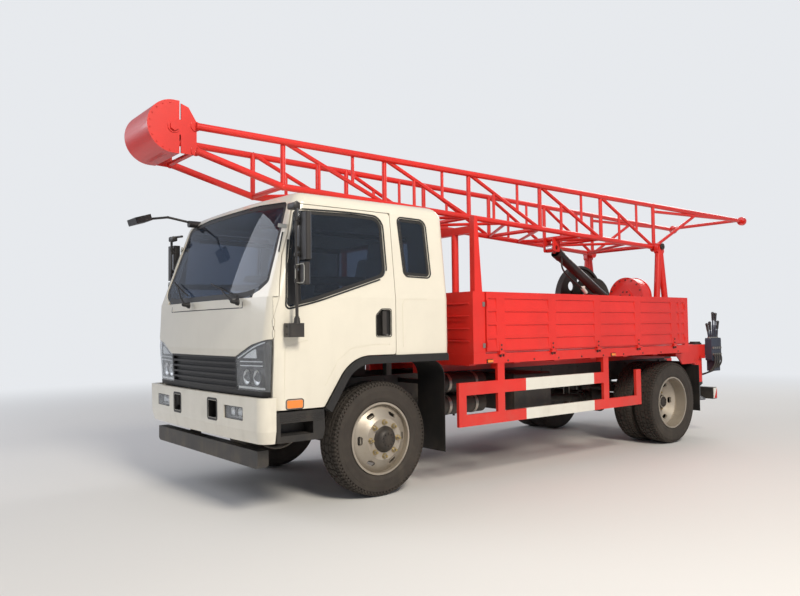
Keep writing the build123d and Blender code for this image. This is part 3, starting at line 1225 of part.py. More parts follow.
def mast_crown():
    """The crown: side plates, the half-round hood over the sheaves and its fixed shaft."""
    centre_y, centre_z = crown_centre()
    r, t, half = CROWN_RADIUS, CROWN_PLATE, CROWN_HALF
    open_y = centre_y + CROWN_FLAT
    cheek = hood_face(centre_y, centre_z, r, open_y)
    outer = extrude(Plane.YZ.offset(-half) * cheek, 2 * half, dir=(1, 0, 0))
    inside = hood_face(centre_y, centre_z, r - t, open_y + 1)
    core = extrude(Plane.YZ.offset(t - half) * inside, 2 * half - 2 * t, dir=(1, 0, 0))
    hood = outer - core
    head_top, head_low = head_point(1, 1), head_point(1, 0)
    yoke = side_form([(open_y + 12, centre_z - r + 25), (open_y + 12, centre_z + r - 20),
                      (open_y + 75, centre_z + r - 42), (head_top[1] + 12, head_top[2] + 36),
                      (head_top[1] + 12, head_low[2] - 36), (open_y + 12, centre_z - r + 5)],
                     (half - t, half))
    strip = block((half - t, half), (open_y - 1, open_y + 13), (centre_z - 60, centre_z + 60))
    shaft = bar((-half, centre_y, centre_z), (half, centre_y, centre_z), 28)
    top_bar = bar((-half, head_top[1] - 8, head_top[2]), (half, head_top[1] - 8, head_top[2]), 20)
    low_bar = bar((-half, head_low[1] - 8, head_low[2] - 8), (half, head_low[1] - 8, head_low[2] - 8), 20)
    crown = fuse(hood, yoke, flip(yoke), strip, flip(strip), shaft, top_bar, low_bar)
    bosses = [bar((side * (half - 2), head[1] + 2, head[2]), (side * (half + 8), head[1] + 2, head[2]), 40)
              for side in (-1, 1) for head in (head_top, head_low)]
    crown = fuse(crown, *bosses)
    return crown - left_truss - right_truss


def hood_face(y, z, r, open_y):
    """A half round with short straight flats, open towards +Y."""
    return make_face([ThreePointArc((y, z - r), (y - r, z), (y, z + r)), Line((y, z + r), (open_y, z + r)),
                      Line((open_y, z + r), (open_y, z - r)), Line((open_y, z - r), (y, z - r))])


def crown_centre():
    head = head_point(1, 1)
    return head[1] - 131 - CROWN_FLAT, head[2] - 24


def crown_sheaves():
    """Two grooved sheaves on one sleeve, turning on the crown's shaft."""
    centre_y, centre_z = crown_centre()
    w, r, bore = SHEAVE_WIDTH / 2, SHEAVE_RADIUS, 28 + RUNNING
    parts = []
    for x in SHEAVE_X:
        parts.append(turned([(x - w, bore), (x - w, r), (x - 8, r), (x - 5, r - 30), (x + 5, r - 30),
                             (x + 8, r), (x + w, r), (x + w, bore)], (centre_y, centre_z)))
    reach = SHEAVE_X[1] + w + 30
    parts.append(turned([(-reach, bore), (-reach, bore + 16), (reach, bore + 16), (reach, bore)],
                        (centre_y, centre_z)))
    return fuse(*parts)


def mast_posts():
    """The A-frames that carry the mast's pivots, with their pins, and the ram's stand."""
    base = DECK_TOP
    parts = []
    for side in (-1, 1):
        x = side * (MAST_REAR_HALF + 74)
        foot_front = (x, PIVOT_Y - 140, base)
        foot_rear = (x, PIVOT_Y + 190, base)
        legs = [bar(foot_front, (x, PIVOT_Y - 12, PIVOT_Z), 40), bar(foot_rear, (x, PIVOT_Y + 12, PIVOT_Z), 40)]
        head = side_form([(PIVOT_Y - 75, PIVOT_Z - 90), (PIVOT_Y + 75, PIVOT_Z - 90), (PIVOT_Y + 60, PIVOT_Z + 45),
                          (PIVOT_Y - 60, PIVOT_Z + 45)], sorted((x - side * 30, x + side * 30)), 30)
        pin = bar((side * (MAST_REAR_HALF - 34), PIVOT_Y, PIVOT_Z), (x + side * 40, PIVOT_Y, PIVOT_Z), RAM_PIN_RADIUS)
        sole = block(sorted((x - side * 60, x + side * 60)), (PIVOT_Y - 220, PIVOT_Y + 262), (base, base + 16))
        tie = bar((x, PIVOT_Y - 90, 1420), (x, PIVOT_Y + 130, 1420), 26)
        post = fuse(*legs, head, pin, sole, tie)
        trim = block((-2000, 2000), (PIVOT_Y - 600, PIVOT_Y + 600), (base - 300, base))
        parts.append(post - trim)
    base_y, base_z = RAM_BASE
    cheeks = [side_form([(base_y - 190, base), (base_y + 190, base), (base_y + 62, base_z + 55),
                         (base_y - 62, base_z + 55)], (x, x + 20), 20) for x in (72, -92)]
    pin = bar((-100, base_y, base_z), (100, base_y, base_z), RAM_PIN_RADIUS)
    plate = block((-96, 96), (base_y - 200, base_y + 200), (base, base + 20))
    beam = bar((-92, base_y - 110, base + 110), (92, base_y - 110, base + 110), 30)
    parts.append(fuse(*cheeks, pin, plate, beam))
    return parts


def mast_rest():
    """The portal over the front of the bed on which the mast lies."""
    base = BED_SIDE_TOP + SEAT
    low, high = REST_BEAM
    parts = [block((-REST_POST_X, REST_POST_X), (REST_Y, REST_Y + 60), REST_BEAM)]
    for side in (-1, 1):
        x = side * REST_POST_X
        post = side_form([(REST_Y - 4, base), (REST_Y + 90, base), (REST_Y + 40, high + 85), (REST_Y, high + 85)],
                         sorted((x - 30, x + 30)))
        parts.append(post)
        x = side * REST_INNER_X
        parts.append(bar((x, REST_Y + 25, base), (x, REST_Y + 25, low + 5), 33))
        station = (REST_Y + 30 - (PIVOT_Y - MAST_PANELS * MAST_PANEL)) / MAST_PANEL
        chord_x, _, chord_z = mast_point(station, side, 0)
        parts.append(block(sorted((chord_x - 45, chord_x + 45)), (REST_Y + 5, REST_Y + 55),
                           (high - 2, chord_z - CHORD_RADIUS - 4)))
    return fuse(*parts)


# Mast lifting ram

def ram_frame():
    """A plane at the ram's base pin with Z along the ram, and its closed length."""
    base_y, base_z = RAM_BASE
    eye_y, eye_z = RAM_EYE
    run = Vector(0, eye_y - base_y, eye_z - base_z)
    return Plane(origin=(0, base_y, base_z), x_dir=(1, 0, 0), z_dir=run), run.length


def ram_barrel():
    plane, length = ram_frame()
    stand = (Align.CENTER, Align.CENTER, Align.MIN)
    tube = Pos(0, 0, 30) * Cylinder(RAM_BARREL_RADIUS, length - 220, align=stand)
    cap = Pos(0, 0, length - 190) * Cylinder(RAM_BARREL_RADIUS + 8, 60, align=stand)
    eye = Rot(0, 90, 0) * Cylinder(RAM_EYE_RADIUS, 120)
    body = fuse(tube, cap, eye)
    bore = Pos(0, 0, 110) * Cylinder(RAM_ROD_RADIUS + RUNNING, length, align=stand)
    hole = Rot(0, 90, 0) * Cylinder(RAM_PIN_RADIUS + RUNNING, 200)
    return plane * (body - bore - hole)


def ram_rod():
    plane, length = ram_frame()
    stand = (Align.CENTER, Align.CENTER, Align.MIN)
    rod = Pos(0, 0, 130) * Cylinder(RAM_ROD_RADIUS, length - 130, align=stand)
    eye = Pos(0, 0, length) * Rot(0, 90, 0) * Cylinder(RAM_EYE_RADIUS, 100)
    hole = Pos(0, 0, length) * Rot(0, 90, 0) * Cylinder(RAM_PIN_RADIUS, 200)
    pin = Pos(0, 0, length) * Rot(0, 90, 0) * Cylinder(RAM_PIN_RADIUS, 104)
    return plane * (fuse(rod, eye) - hole + pin)


# Machinery in the bed

def winch_frame():
    """Base and bearing plates of the hoisting winch, with its fixed shaft."""
    y, z, base = WINCH_Y, WINCH_Z, DECK_TOP
    parts = []
    for x in WINCH_PLATES:
        plate = side_form([(y - 40, base), (y + 300, base), (y + 70, z + 40), (y + 40, z + 75),
                           (y - 40, z + 75), (y - 60, z + 40)], (x, x + WINCH_PLATE), 12)
        parts.append(plate)
        parts.append(bar((x - 6, y, z), (x + WINCH_PLATE + 6, y, z), 62))
    end = WHEEL_X - WHEEL_WIDTH / 2 - 8
    shaft = bar((end, y, z), (WINCH_PLATES[1] + WINCH_PLATE + 8, y, z), WINCH_SHAFT)
    sole = block((WINCH_PLATES[0], WINCH_PLATES[1] + WINCH_PLATE), (y - 60, y + 320), (base, base + 16))
    tie = bar((WINCH_PLATES[0], y + 190, base + 90), (WINCH_PLATES[1] + WINCH_PLATE, y + 190, base + 90), 28)
    return fuse(*parts, shaft, sole, tie)


def hoist_drum():
    """The flanged cable drum, turning on the winch's shaft, and the cable's first lay."""
    low = WINCH_PLATES[0] + WINCH_PLATE + 6 + MOVING_GAP
    high = WINCH_PLATES[1] - 6 - MOVING_GAP
    bore, core, flange = WINCH_SHAFT + RUNNING, DRUM_CORE_RADIUS, DRUM_FLANGE_RADIUS
    return turned([(low, bore), (low, flange), (low + 14, flange), (low + 14, core), (high - 14, core),
                   (high - 14, flange), (high, flange), (high, bore)], (WINCH_Y, WINCH_Z))


def drive_wheel():
    """The large wheel beside the winch: flat rim, web with holes and a hub on the same shaft."""
    w, r, bore = WHEEL_WIDTH / 2, WHEEL_RADIUS, WINCH_SHAFT + RUNNING
    x = WHEEL_X
    wheel = turned([(x - w, bore), (x - w, 90), (x - 12, 90), (x - 12, r - 34), (x - w, r - 34), (x - w, r),
                    (x + w, r), (x + w, r - 34), (x + 12, r - 34), (x + 12, 90), (x + w - 12, 90),
                    (x + w - 12, bore)])
    for i in range(8):
        hole = Rot(45 * i, 0, 0) * bar((x - 60, 0, 275), (x + 60, 0, 275), 62)
        wheel = wheel - hole
    return Pos(0, WINCH_Y, WINCH_Z) * wheel


def drive_case():
    """The arched case over the winch's chain drive, standing on the deck."""
    x, z, r = CASE_X, CASE_Z, CASE_RADIUS
    arch = extrude(Plane.XZ.offset(-CASE_Y[1]) * make_face([
        ThreePointArc((x - r, z), (x, z + r), (x + r, z)), Line((x + r, z), (x + r, DECK_TOP)),
        Line((x + r, DECK_TOP), (x - r, DECK_TOP)), Line((x - r, DECK_TOP), (x - r, z))]),
        CASE_Y[1] - CASE_Y[0], dir=(0, -1, 0))
    lid = bar((x, CASE_Y[0] - 16, z), (x, CASE_Y[1] + 16, z), 92)
    foot = block((x - r, x + r), (CASE_Y[0] - 8, CASE_Y[1] + 30), (DECK_TOP, DECK_TOP + 14))
    return fuse(arch, lid, foot)


def rotary_base():
    """The rotary table's fixed housing with its drive snout, on the deck's arms."""
    low, high = TABLE_Z
    r = TABLE_RADIUS
    ring = turned_up([(TABLE_BORE + 20, low), (r + 40, low), (r + 40, high - 60), (r + 10, high - 40),
                      (TABLE_BORE + 20, high - 40)])
    snout = block((-90, 90), (DECK_REAR - TABLE_Y + 2, -r + 40), (low + 10, high - 60))
    return Pos(0, TABLE_Y, 0) * (fuse(ring, snout) - bar((0, 0, 0), (0, 0, 2000), TABLE_BORE + 20))


def rotary_table():
    """The turning table with its square drive recess and bore."""
    low, high = TABLE_Z
    r, bore = TABLE_RADIUS, TABLE_BORE
    disc_ring = turned_up([(bore, high - 40 + SEAT), (r, high - 40 + SEAT), (r, high - 8), (r - 8, high), (bore, high)])
    neck = turned_up([(bore, low + 10), (bore + 20 - RUNNING, low + 10), (bore + 20 - RUNNING, high - 30),
                      (bore, high - 30)])
    square = Pos(0, 0, high) * Box(2 * bore + 60, 2 * bore + 60, 30)
    return Pos(0, TABLE_Y, 0) * (fuse(disc_ring, neck) - square)


# Nodes and what each holds

left_door, left_glass, left_fittings = door(), door_glass(), mirror_and_handle()
left_drop, left_leg, left_knuckle = drop_side(), jack_leg(), knuckle()
left_wheel, left_tyre = front_wheel(), front_tyre()
left_twin, left_twin_tyres = rear_wheels(), rear_tyres()

nodes = {
    "chassis_frame": chassis_frame(),
    "axles": [front_axle(), rear_axle()],
    "leaf_springs": leaf_springs(),
    "engine_and_propshaft": [engine_and_propshaft()],
    "tanks_and_muffler": tanks_and_muffler(),
    "cab_floor": [cab_floor()],
    "cab_back_wall": [cab_back_wall()],
    "cab_sides": cab_sides(),
    "cab_roof": [cab_roof()],
    "cab_front_panel": [cab_front_panel()],
    "cab_glass": cab_glass(),
    "dashboard": [dashboard()],
    "seats": seats(),
    "grille": [grille()],
    "bumper": [bumper()],
    "lamps": lamps(),
    "underrun_bars": underrun_bars(),
    "steps_and_mudguards": steps_and_mudguards(),
    "front_mirror": [front_mirror()],
    "bed_frame": bed_frame(),
    "bed_headboard": [bed_headboard()],
    "side_guards": side_guards(),
    "rear_deck": [rear_deck()],
    "mast_rest": [mast_rest()],
    "mast_posts": mast_posts(),
    "winch_frame": [winch_frame()],
    "drive_case": [drive_case()],
    "rotary_base": [rotary_base()],
    "jack_tubes": jack_tubes(),
    "control_levers": [control_levers()],
    "mast_sides": [left_truss, right_truss],
    "mast_braces": [mast_braces()],
    "mast_crown": [mast_crown()],
    "crown_sheaves": [crown_sheaves()],
    "ram_barrel": [ram_barrel()],
    "ram_rod": [ram_rod()],
    "hoist_drum": [hoist_drum()],
    "drive_wheel": [drive_wheel()],
    "rotary_table": [rotary_table()],
    "tie_rod": [tie_rod()],
    "door_left": [left_door],
    "door_right": [flip(left_door)],
    "door_glass_left": [left_glass],
    "door_glass_right": [flip(left_glass)],
    "mirror_left": left_fittings,
    "mirror_right": [flip(piece) for piece in left_fittings],
    "drop_side_left": [left_drop],
    "drop_side_right": [flip(left_drop)],
    "jack_leg_left": [left_leg],
    "jack_leg_right": [flip(left_leg)],
    "knuckle_left": [left_knuckle],
    "knuckle_right": [flip(left_knuckle)],
    "front_wheel_left": [left_wheel],
    "front_wheel_right": [flip(left_wheel)],
    "front_tyre_left": [left_tyre],
    "front_tyre_right": [flip(left_tyre)],
    "rear_wheels_left": [left_twin],
    "rear_wheels_right": [flip(left_twin)],
    "rear_tyres_left": left_twin_tyres,
    "rear_tyres_right": [flip(piece) for piece in left_twin_tyres],
}

# The middle of the overall length, from the crown's hood to the feet of the mast
front_end = crown_centre()[0] - CROWN_RADIUS
rear_end = tail_point(1)[1] + TAIL_FOOT
middle = (front_end + rear_end) / 2
move = Pos(0, -middle, 0)

os.makedirs("parts", exist_ok=True)
for name, pieces in nodes.items():
    solids = [solid for piece in pieces for solid in piece.solids()]
    shape = Compound(children=[move * solid for solid in solids])
    export_step(shape, f"parts/{name}.step")
print("overall", round(rear_end - front_end), "mm, moved by", round(-middle, 3), "mm")
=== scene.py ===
import math

import bmesh
import bpy
from mathutils import Matrix, Vector


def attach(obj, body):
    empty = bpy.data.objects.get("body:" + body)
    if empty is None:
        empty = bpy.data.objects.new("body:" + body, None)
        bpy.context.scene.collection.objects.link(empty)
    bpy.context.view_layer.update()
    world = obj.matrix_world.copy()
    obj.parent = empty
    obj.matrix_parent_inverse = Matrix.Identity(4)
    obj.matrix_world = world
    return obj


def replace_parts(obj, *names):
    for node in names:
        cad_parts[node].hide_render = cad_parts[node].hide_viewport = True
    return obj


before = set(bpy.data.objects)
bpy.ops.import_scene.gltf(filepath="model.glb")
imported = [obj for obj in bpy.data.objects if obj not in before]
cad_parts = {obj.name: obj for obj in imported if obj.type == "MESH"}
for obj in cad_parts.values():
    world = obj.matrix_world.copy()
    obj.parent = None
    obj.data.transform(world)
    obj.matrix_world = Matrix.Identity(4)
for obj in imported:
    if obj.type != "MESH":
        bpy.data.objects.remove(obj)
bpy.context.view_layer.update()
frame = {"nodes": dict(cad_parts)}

# A truck-mounted drilling rig: white cab, red bed and mast, black running gear.
# Metres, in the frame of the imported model: the truck faces -Y and its left side is +X.
# Places along the truck are given from the front axle, as a fitter would measure them.

FRONT_AXLE_Y = -2.7265
REAR_AXLE = 4.2
AXLE_Z = 0.475
SIDES = ((1, "left"), (-1, "right"))

# Planes outside the cab from which flat outlines are laid onto its skin
SIDE_PLANE = 1.6
FRONT_PLANE = -1.6
BACK_PLANE = 1.1


def at(x, y, z):
    """A point from its distances out from the centre line, back from the front axle and up from the ground."""
    return Vector((x, y + FRONT_AXLE_Y, z))


# Shader nodes

def fill(tree, node, inputs):
    """Gives a node its inputs, each a value or another node's output."""
    for label, value in inputs.items():
        if isinstance(value, bpy.types.NodeSocket):
            tree.links.new(value, node.inputs[label])
        else:
            node.inputs[label].default_value = value
    return node


def add_node(tree, kind, inputs, **settings):
    node = tree.nodes.new("ShaderNode" + kind)
    for label, value in settings.items():
        setattr(node, label, value)
    return fill(tree, node, inputs)


def math_node(tree, operation, first, second, clamp=False):
    return add_node(tree, "Math", {0: first, 1: second}, operation=operation, use_clamp=clamp).outputs[0]


def blend_colour(tree, factor, first, second):
    return add_node(tree, "Mix", {0: factor, 6: first, 7: second}, data_type="RGBA").outputs[2]


def remap(tree, value, low, high, to_low=0.0, to_high=1.0):
    inputs = {"Value": value, "From Min": low, "From Max": high, "To Min": to_low, "To Max": to_high}
    return add_node(tree, "MapRange", inputs, interpolation_type="SMOOTHSTEP").outputs["Result"]


def speckle(tree, place, scale, detail=4.0, roughness=0.55, stretch=None):
    """A noise value on object coordinates, drawn out along an axis where stretch says."""
    if stretch:
        place = add_node(tree, "Mapping", {"Vector": place, "Scale": stretch}).outputs["Vector"]
    inputs = {"Vector": place, "Scale": scale, "Detail": detail, "Roughness": roughness}
    return add_node(tree, "TexNoise", inputs).outputs["Fac"]


def object_place(tree):
    return tree.nodes.new("ShaderNodeTexCoord").outputs["Object"]


def object_axis(tree, axis):
    return add_node(tree, "SeparateXYZ", {0: object_place(tree)}).outputs[axis]


def shader_group(name, inputs, output, kind="Float"):
    """An empty node group with one output, and the sockets inside it."""
    group = bpy.data.node_groups.new(name, "ShaderNodeTree")
    for label, value in inputs.items():
        sort = "NodeSocketFloat" if isinstance(value, float) else "NodeSocketColor"
        group.interface.new_socket(label, in_out="INPUT", socket_type=sort).default_value = value
    group.interface.new_socket(output, in_out="OUTPUT", socket_type="NodeSocket" + kind)
    return group, group.nodes.new("NodeGroupInput").outputs, group.nodes.new("NodeGroupOutput").inputs


def place_group(tree, group, **inputs):
    return add_node(tree, "Group", inputs, node_tree=group).outputs[0]


def make_road_dust():
    """Mask of the road dust: thick low down, thin streaks higher up, broken by noise."""
    tree, source, result = shader_group("road_dust", {"Amount": 0.5, "Height": 1.0}, "Mask")
    place = object_place(tree)
    low = remap(tree, math_node(tree, "DIVIDE", object_axis(tree, "Z"), source["Height"]), 1.0, 0.1)
    patches = remap(tree, speckle(tree, place, 5.0, 6.0, 0.62), 0.36, 0.7, 0.25, 1.0)
    streaks = remap(tree, speckle(tree, place, 9.0, 3.0, 0.5, (1.0, 1.0, 0.12)), 0.42, 0.75, 0.35, 1.0)
    film = math_node(tree, "ADD", math_node(tree, "MULTIPLY", low, 0.85), 0.13)
    cover = math_node(tree, "MULTIPLY", film, math_node(tree, "MULTIPLY", patches, streaks))
    tree.links.new(math_node(tree, "MULTIPLY", cover, source["Amount"], True), result["Mask"])
    return tree


def make_uneven_tone():
    """Slow brightness changes over a surface, as paint and castings have."""
    tree, source, result = shader_group("uneven_tone", {"Color": (0.5, 0.5, 0.5, 1), "Spread": 0.08}, "Color",
                                        "Color")
    wide = remap(tree, speckle(tree, object_place(tree), 1.4, 5.0, 0.6), 0.3, 0.7, -1.0, 1.0)
    shift = math_node(tree, "ADD", math_node(tree, "MULTIPLY", wide, source["Spread"]), 1.0)
    scaled = add_node(tree, "VectorMath", {0: source["Color"], "Scale": shift}, operation="SCALE")
    tree.links.new(scaled.outputs[0], result["Color"])
    return tree


def make_skin():
    """The small relief of a skin: orange peel on paint, sand grain on castings, pebble on plastic."""
    tree, source, result = shader_group("skin", {"Scale": 300.0, "Depth": 0.1}, "Normal", "Vector")
    noise = add_node(tree, "TexNoise", {"Vector": object_place(tree), "Scale": source["Scale"], "Detail": 3.0})
    bump = add_node(tree, "Bump", {"Distance": 0.002, "Strength": source["Depth"],
                                   "Height": noise.outputs["Fac"]})
    tree.links.new(bump.outputs["Normal"], result["Normal"])
    return tree


def make_chips():
    """Mask of small chips and scuffs where the finish has worn through."""
    tree, source, result = shader_group("chips", {"Amount": 0.3}, "Mask")
    place = object_place(tree)
    fine = remap(tree, speckle(tree, place, 38.0, 5.0, 0.7), 0.62, 0.68)
    chipped = math_node(tree, "MULTIPLY", fine, remap(tree, speckle(tree, place, 2.3, 2.0), 0.48, 0.66))
    tree.links.new(math_node(tree, "MULTIPLY", chipped, source["Amount"], True), result["Mask"])
    return tree


road_dust = make_road_dust()
uneven_tone = make_uneven_tone()
skin = make_skin()
chips = make_chips()


# Patterns that lie between a finish's plain tone and its dust

WHITE_BAND = (1.543, 2.581)


def white_band(tree, colour):
    """The white stretch painted round the middle of the side guards' rails."""
    start, end = (y + FRONT_AXLE_Y for y in WHITE_BAND)
    y = object_axis(tree, "Y")
    along = math_node(tree, "MULTIPLY", math_node(tree, "GREATER_THAN", y, start),
                      math_node(tree, "LESS_THAN", y, end))
    return blend_colour(tree, along, colour, (0.80, 0.78, 0.70, 1))


def scuffed_rubber(tree, colour):
    """A tyre's colour with faint paler scuffs."""
    spots = remap(tree, speckle(tree, object_place(tree), 14.0, 4.0), 0.45, 0.8, 0.0, 0.6)
    return blend_colour(tree, spots, colour, (0.054, 0.043, 0.034, 1))


def bands(tree, direction, **inputs):
    inputs["Vector"] = object_place(tree)
    return add_node(tree, "TexWave", inputs, bands_direction=direction).outputs["Fac"]


def woven(tree, colour):
    """A plain weave for the seat covers."""
    across, up = (bands(tree, direction, Scale=60.0, Distortion=0.6) for direction in ("X", "Z"))
    return blend_colour(tree, math_node(tree, "MULTIPLY", across, up), colour, (0.30, 0.29, 0.27, 1))


def cable_lay(tree, colour):
    """Turns of steel cable side by side on the hoist drum."""
    return blend_colour(tree, bands(tree, "X", Scale=22.0), colour, (0.02, 0.018, 0.016, 1))


# Finishes: colour, roughness, metal, coat, dust and how high it lies, spread of tone, grain's scale and depth

DUST = (0.29, 0.235, 0.165, 1)
FINISHES = {
    "cab_white": ((0.79, 0.745, 0.635), 0.28, 0.0, 0.55, 0.34, 1.5, 0.03, 240.0, 0.05),
    "rig_red": ((0.72, 0.022, 0.014), 0.36, 0.0, 0.3, 0.22, 1.5, 0.09, 170.0, 0.10),
    "guard_red": ((0.72, 0.022, 0.014), 0.40, 0.0, 0.2, 0.42, 1.2, 0.08, 170.0, 0.10),
    "chassis_black": ((0.022, 0.021, 0.021), 0.48, 0.0, 0.0, 0.55, 1.1, 0.2, 140.0, 0.16),
    "cylinder_black": ((0.020, 0.019, 0.019), 0.34, 0.0, 0.2, 0.2, 1.1, 0.2, 160.0, 0.1),
    "cast_iron": ((0.045, 0.041, 0.038), 0.55, 0.25, 0.0, 0.3, 2.2, 0.25, 90.0, 0.3),
    "cable_steel": ((0.16, 0.145, 0.125), 0.45, 0.7, 0.0, 0.3, 2.2, 0.2, 200.0, 0.3),
    "leg_grey": ((0.13, 0.14, 0.16), 0.38, 0.35, 0.0, 0.4, 1.1, 0.12, 160.0, 0.1),
    "rod_chrome": ((0.62, 0.62, 0.63), 0.14, 1.0, 0.0, 0.12, 1.1, 0.04, 400.0, 0.03),
    "wheel_silver": ((0.43, 0.385, 0.325), 0.38, 0.45, 0.0, 0.62, 1.15, 0.12, 180.0, 0.14),
    "hub_dark": ((0.035, 0.03, 0.027), 0.5, 0.3, 0.0, 0.35, 1.1, 0.06, 120.0, 0.2),
    "nut_brass": ((0.42, 0.33, 0.16), 0.35, 0.8, 0.0, 0.35, 1.1, 0.06, 200.0, 0.1),
    "tyre_rubber": ((0.036, 0.029, 0.024), 0.76, 0.0, 0.0, 0.12, 1.25, 0.16, 210.0, 0.22),
    "black_plastic": ((0.015, 0.0145, 0.015), 0.44, 0.0, 0.0, 0.26, 1.2, 0.1, 420.0, 0.2),
    "mirror_plastic": ((0.030, 0.028, 0.028), 0.40, 0.0, 0.0, 0.25, 2.6, 0.1, 420.0, 0.16),
    "mirror_glass": ((0.70, 0.72, 0.75), 0.04, 1.0, 0.0, 0.1, 2.5, 0.02, 60.0, 0.01),
    "cab_trim": ((0.11, 0.105, 0.10), 0.7, 0.0, 0.0, 0.0, 1.1, 0.1, 260.0, 0.25),
    "seat_cover": ((0.62, 0.60, 0.55), 0.9, 0.0, 0.0, 0.0, 1.1, 0.12, 90.0, 0.4),
    "door_rubber": ((0.014, 0.014, 0.015), 0.6, 0.0, 0.0, 0.2, 1.6, 0.1, 300.0, 0.15),
    "lever_blue": ((0.030, 0.038, 0.062), 0.42, 0.0, 0.0, 0.4, 1.4, 0.2, 150.0, 0.18),
    "reflector": ((0.80, 0.80, 0.80), 0.34, 0.75, 0.0, 0.03, 1.1, 0.03, 60.0, 0.02),
    "amber_lens": ((0.88, 0.235, 0.020), 0.16, 0.0, 0.8, 0.14, 1.1, 0.05, 120.0, 0.25),
    "red_lens": ((0.50, 0.012, 0.012), 0.16, 0.0, 0.8, 0.14, 1.1, 0.05, 120.0, 0.25),
    "plate_white": ((0.78, 0.76, 0.70), 0.4, 0.0, 0.0, 0.35, 0.9, 0.04, 200.0, 0.05),
    "plate_red": ((0.62, 0.02, 0.02), 0.3, 0.0, 0.0, 0.25, 0.9, 0.05, 200.0, 0.1),
    "knob_black": ((0.02, 0.02, 0.022), 0.25, 0.0, 0.5, 0.2, 1.1, 0.1, 300.0, 0.05),
    "hose_rubber": ((0.028, 0.026, 0.025), 0.55, 0.0, 0.0, 0.35, 2.0, 0.2, 260.0, 0.25),
    "fitting_steel": ((0.46, 0.44, 0.40), 0.3, 0.9, 0.0, 0.3, 1.8, 0.15, 200.0, 0.12),
    "dark_bolt": ((0.09, 0.05, 0.045), 0.45, 0.4, 0.0, 0.4, 1.8, 0.2, 160.0, 0.2),
    "clip_grey": ((0.42, 0.42, 0.38), 0.5, 0.0, 0.0, 0.2, 2.4, 0.06, 200.0, 0.15),
    "lamp_white": ((0.80, 0.80, 0.78), 0.3, 0.0, 0.3, 0.05, 1.1, 0.03, 300.0, 0.1),
}

# How worn a finish is, and what shows below it
WORN = {"rig_red": (0.35, (0.42, 0.05, 0.03)), "guard_red": (0.3, (0.3, 0.08, 0.05)),
        "cast_iron": (0.5, (0.14, 0.075, 0.04)), "lever_blue": (0.5, (0.2, 0.13, 0.07))}
PATTERNS = {"guard_red": white_band, "tyre_rubber": scuffed_rubber, "seat_cover": woven,
            "cable_steel": cable_lay}

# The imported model's slot for each finish that a piece of this scene has
materials = {}


def new_material(name):
    material = bpy.data.materials.new(name)
    material.use_nodes = True
    materials[name] = material
    return material.node_tree, material.node_tree.nodes["Principled BSDF"]


def finish(name, colour, roughness, metallic, coat, dust, dust_height, spread, grain, depth):
    """A finish: base tone, pattern, worn spots, road dust and the relief of its skin."""
    tree, shader = new_material(name)
    shade = place_group(tree, uneven_tone, Color=(*colour, 1), Spread=spread)
    if name in PATTERNS:
        shade = PATTERNS[name](tree, shade)
    if name in WORN:
        amount, under = WORN[name]
        shade = blend_colour(tree, place_group(tree, chips, Amount=amount), shade, (*under, 1))
    film = place_group(tree, road_dust, Amount=dust, Height=dust_height)
    fill(tree, shader, {
        "Base Color": blend_colour(tree, film, shade, DUST), "Metallic": metallic, "Coat Weight": coat,
        "Coat Roughness": 0.06, "Roughness": remap(tree, film, 0.0, 1.0, roughness, 0.92),
        "Normal": place_group(tree, skin, Scale=grain, Depth=depth)})


def glass(name, tint, rough, index, shine):
    """Tinted glass with a little dust; index and shine are kept low so that what lies behind shows."""
    tree, shader = new_material(name)
    tone = place_group(tree, uneven_tone, Color=(*tint, 1), Spread=0.03)
    film = place_group(tree, road_dust, Amount=0.16, Height=2.4)
    fill(tree, shader, {
        "Base Color": blend_colour(tree, film, tone, DUST), "Transmission Weight": 0.92, "IOR": index,
        "Specular IOR Level": shine, "Roughness": remap(tree, film, 0.0, 1.0, rough, 0.5)})


for name, values in FINISHES.items():
    finish(name, *values)
glass("window_glass", (0.19, 0.23, 0.30), 0.01, 1.22, 0.3)
glass("lamp_glass", (0.88, 0.90, 0.92), 0.01, 1.25, 0.35)

NODE_FINISH = {
    "cab_white": "cab_back_wall cab_sides cab_roof cab_front_panel bumper door_left door_right",
    "rig_red": "bed_frame bed_headboard drop_side_left drop_side_right rear_deck mast_rest mast_posts "
               "winch_frame drive_case mast_sides mast_braces mast_crown",
    "guard_red": "side_guards",
    "chassis_black": "chassis_frame axles leaf_springs tanks_and_muffler underrun_bars jack_tubes "
                     "knuckle_left knuckle_right tie_rod rotary_base",
    "cylinder_black": "ram_barrel",
    "cast_iron": "engine_and_propshaft drive_wheel crown_sheaves rotary_table",
    "cable_steel": "hoist_drum",
    "leg_grey": "jack_leg_left jack_leg_right",
    "rod_chrome": "ram_rod",
    "wheel_silver": "front_wheel_left front_wheel_right rear_wheels_left rear_wheels_right",
    "tyre_rubber": "front_tyre_left front_tyre_right rear_tyres_left rear_tyres_right",
    "black_plastic": "grille steps_and_mudguards",
    "mirror_plastic": "front_mirror mirror_left mirror_right",
    "cab_trim": "dashboard cab_floor",
    "lever_blue": "control_levers",
    "seat_cover": "seats",
    "window_glass": "cab_glass door_glass_left door_glass_right",
    "amber_lens": "lamps",
}
node = frame["nodes"]
for look, names in NODE_FINISH.items():
    for name in names.split():
        mesh = node[name].data
        mesh.materials.clear()
        mesh.materials.append(materials[look])


# Shaping with bmesh

def oriented(direction):
    """The turn that carries +Z onto a direction."""
    return Vector(direction).to_track_quat("Z", "Y").to_matrix().to_4x4()


def add_rod(bm, start, end, radius, sides=16, end_radius=None):
    """A round bar between two points, slimmer at its end where end_radius says."""
    run = end - start
    turn = Matrix.Translation((start + end) / 2) @ oriented(run)
    bmesh.ops.create_cone(bm, cap_ends=True, segments=sides, radius1=radius,
                          radius2=radius if end_radius is None else end_radius, depth=run.length, matrix=turn)


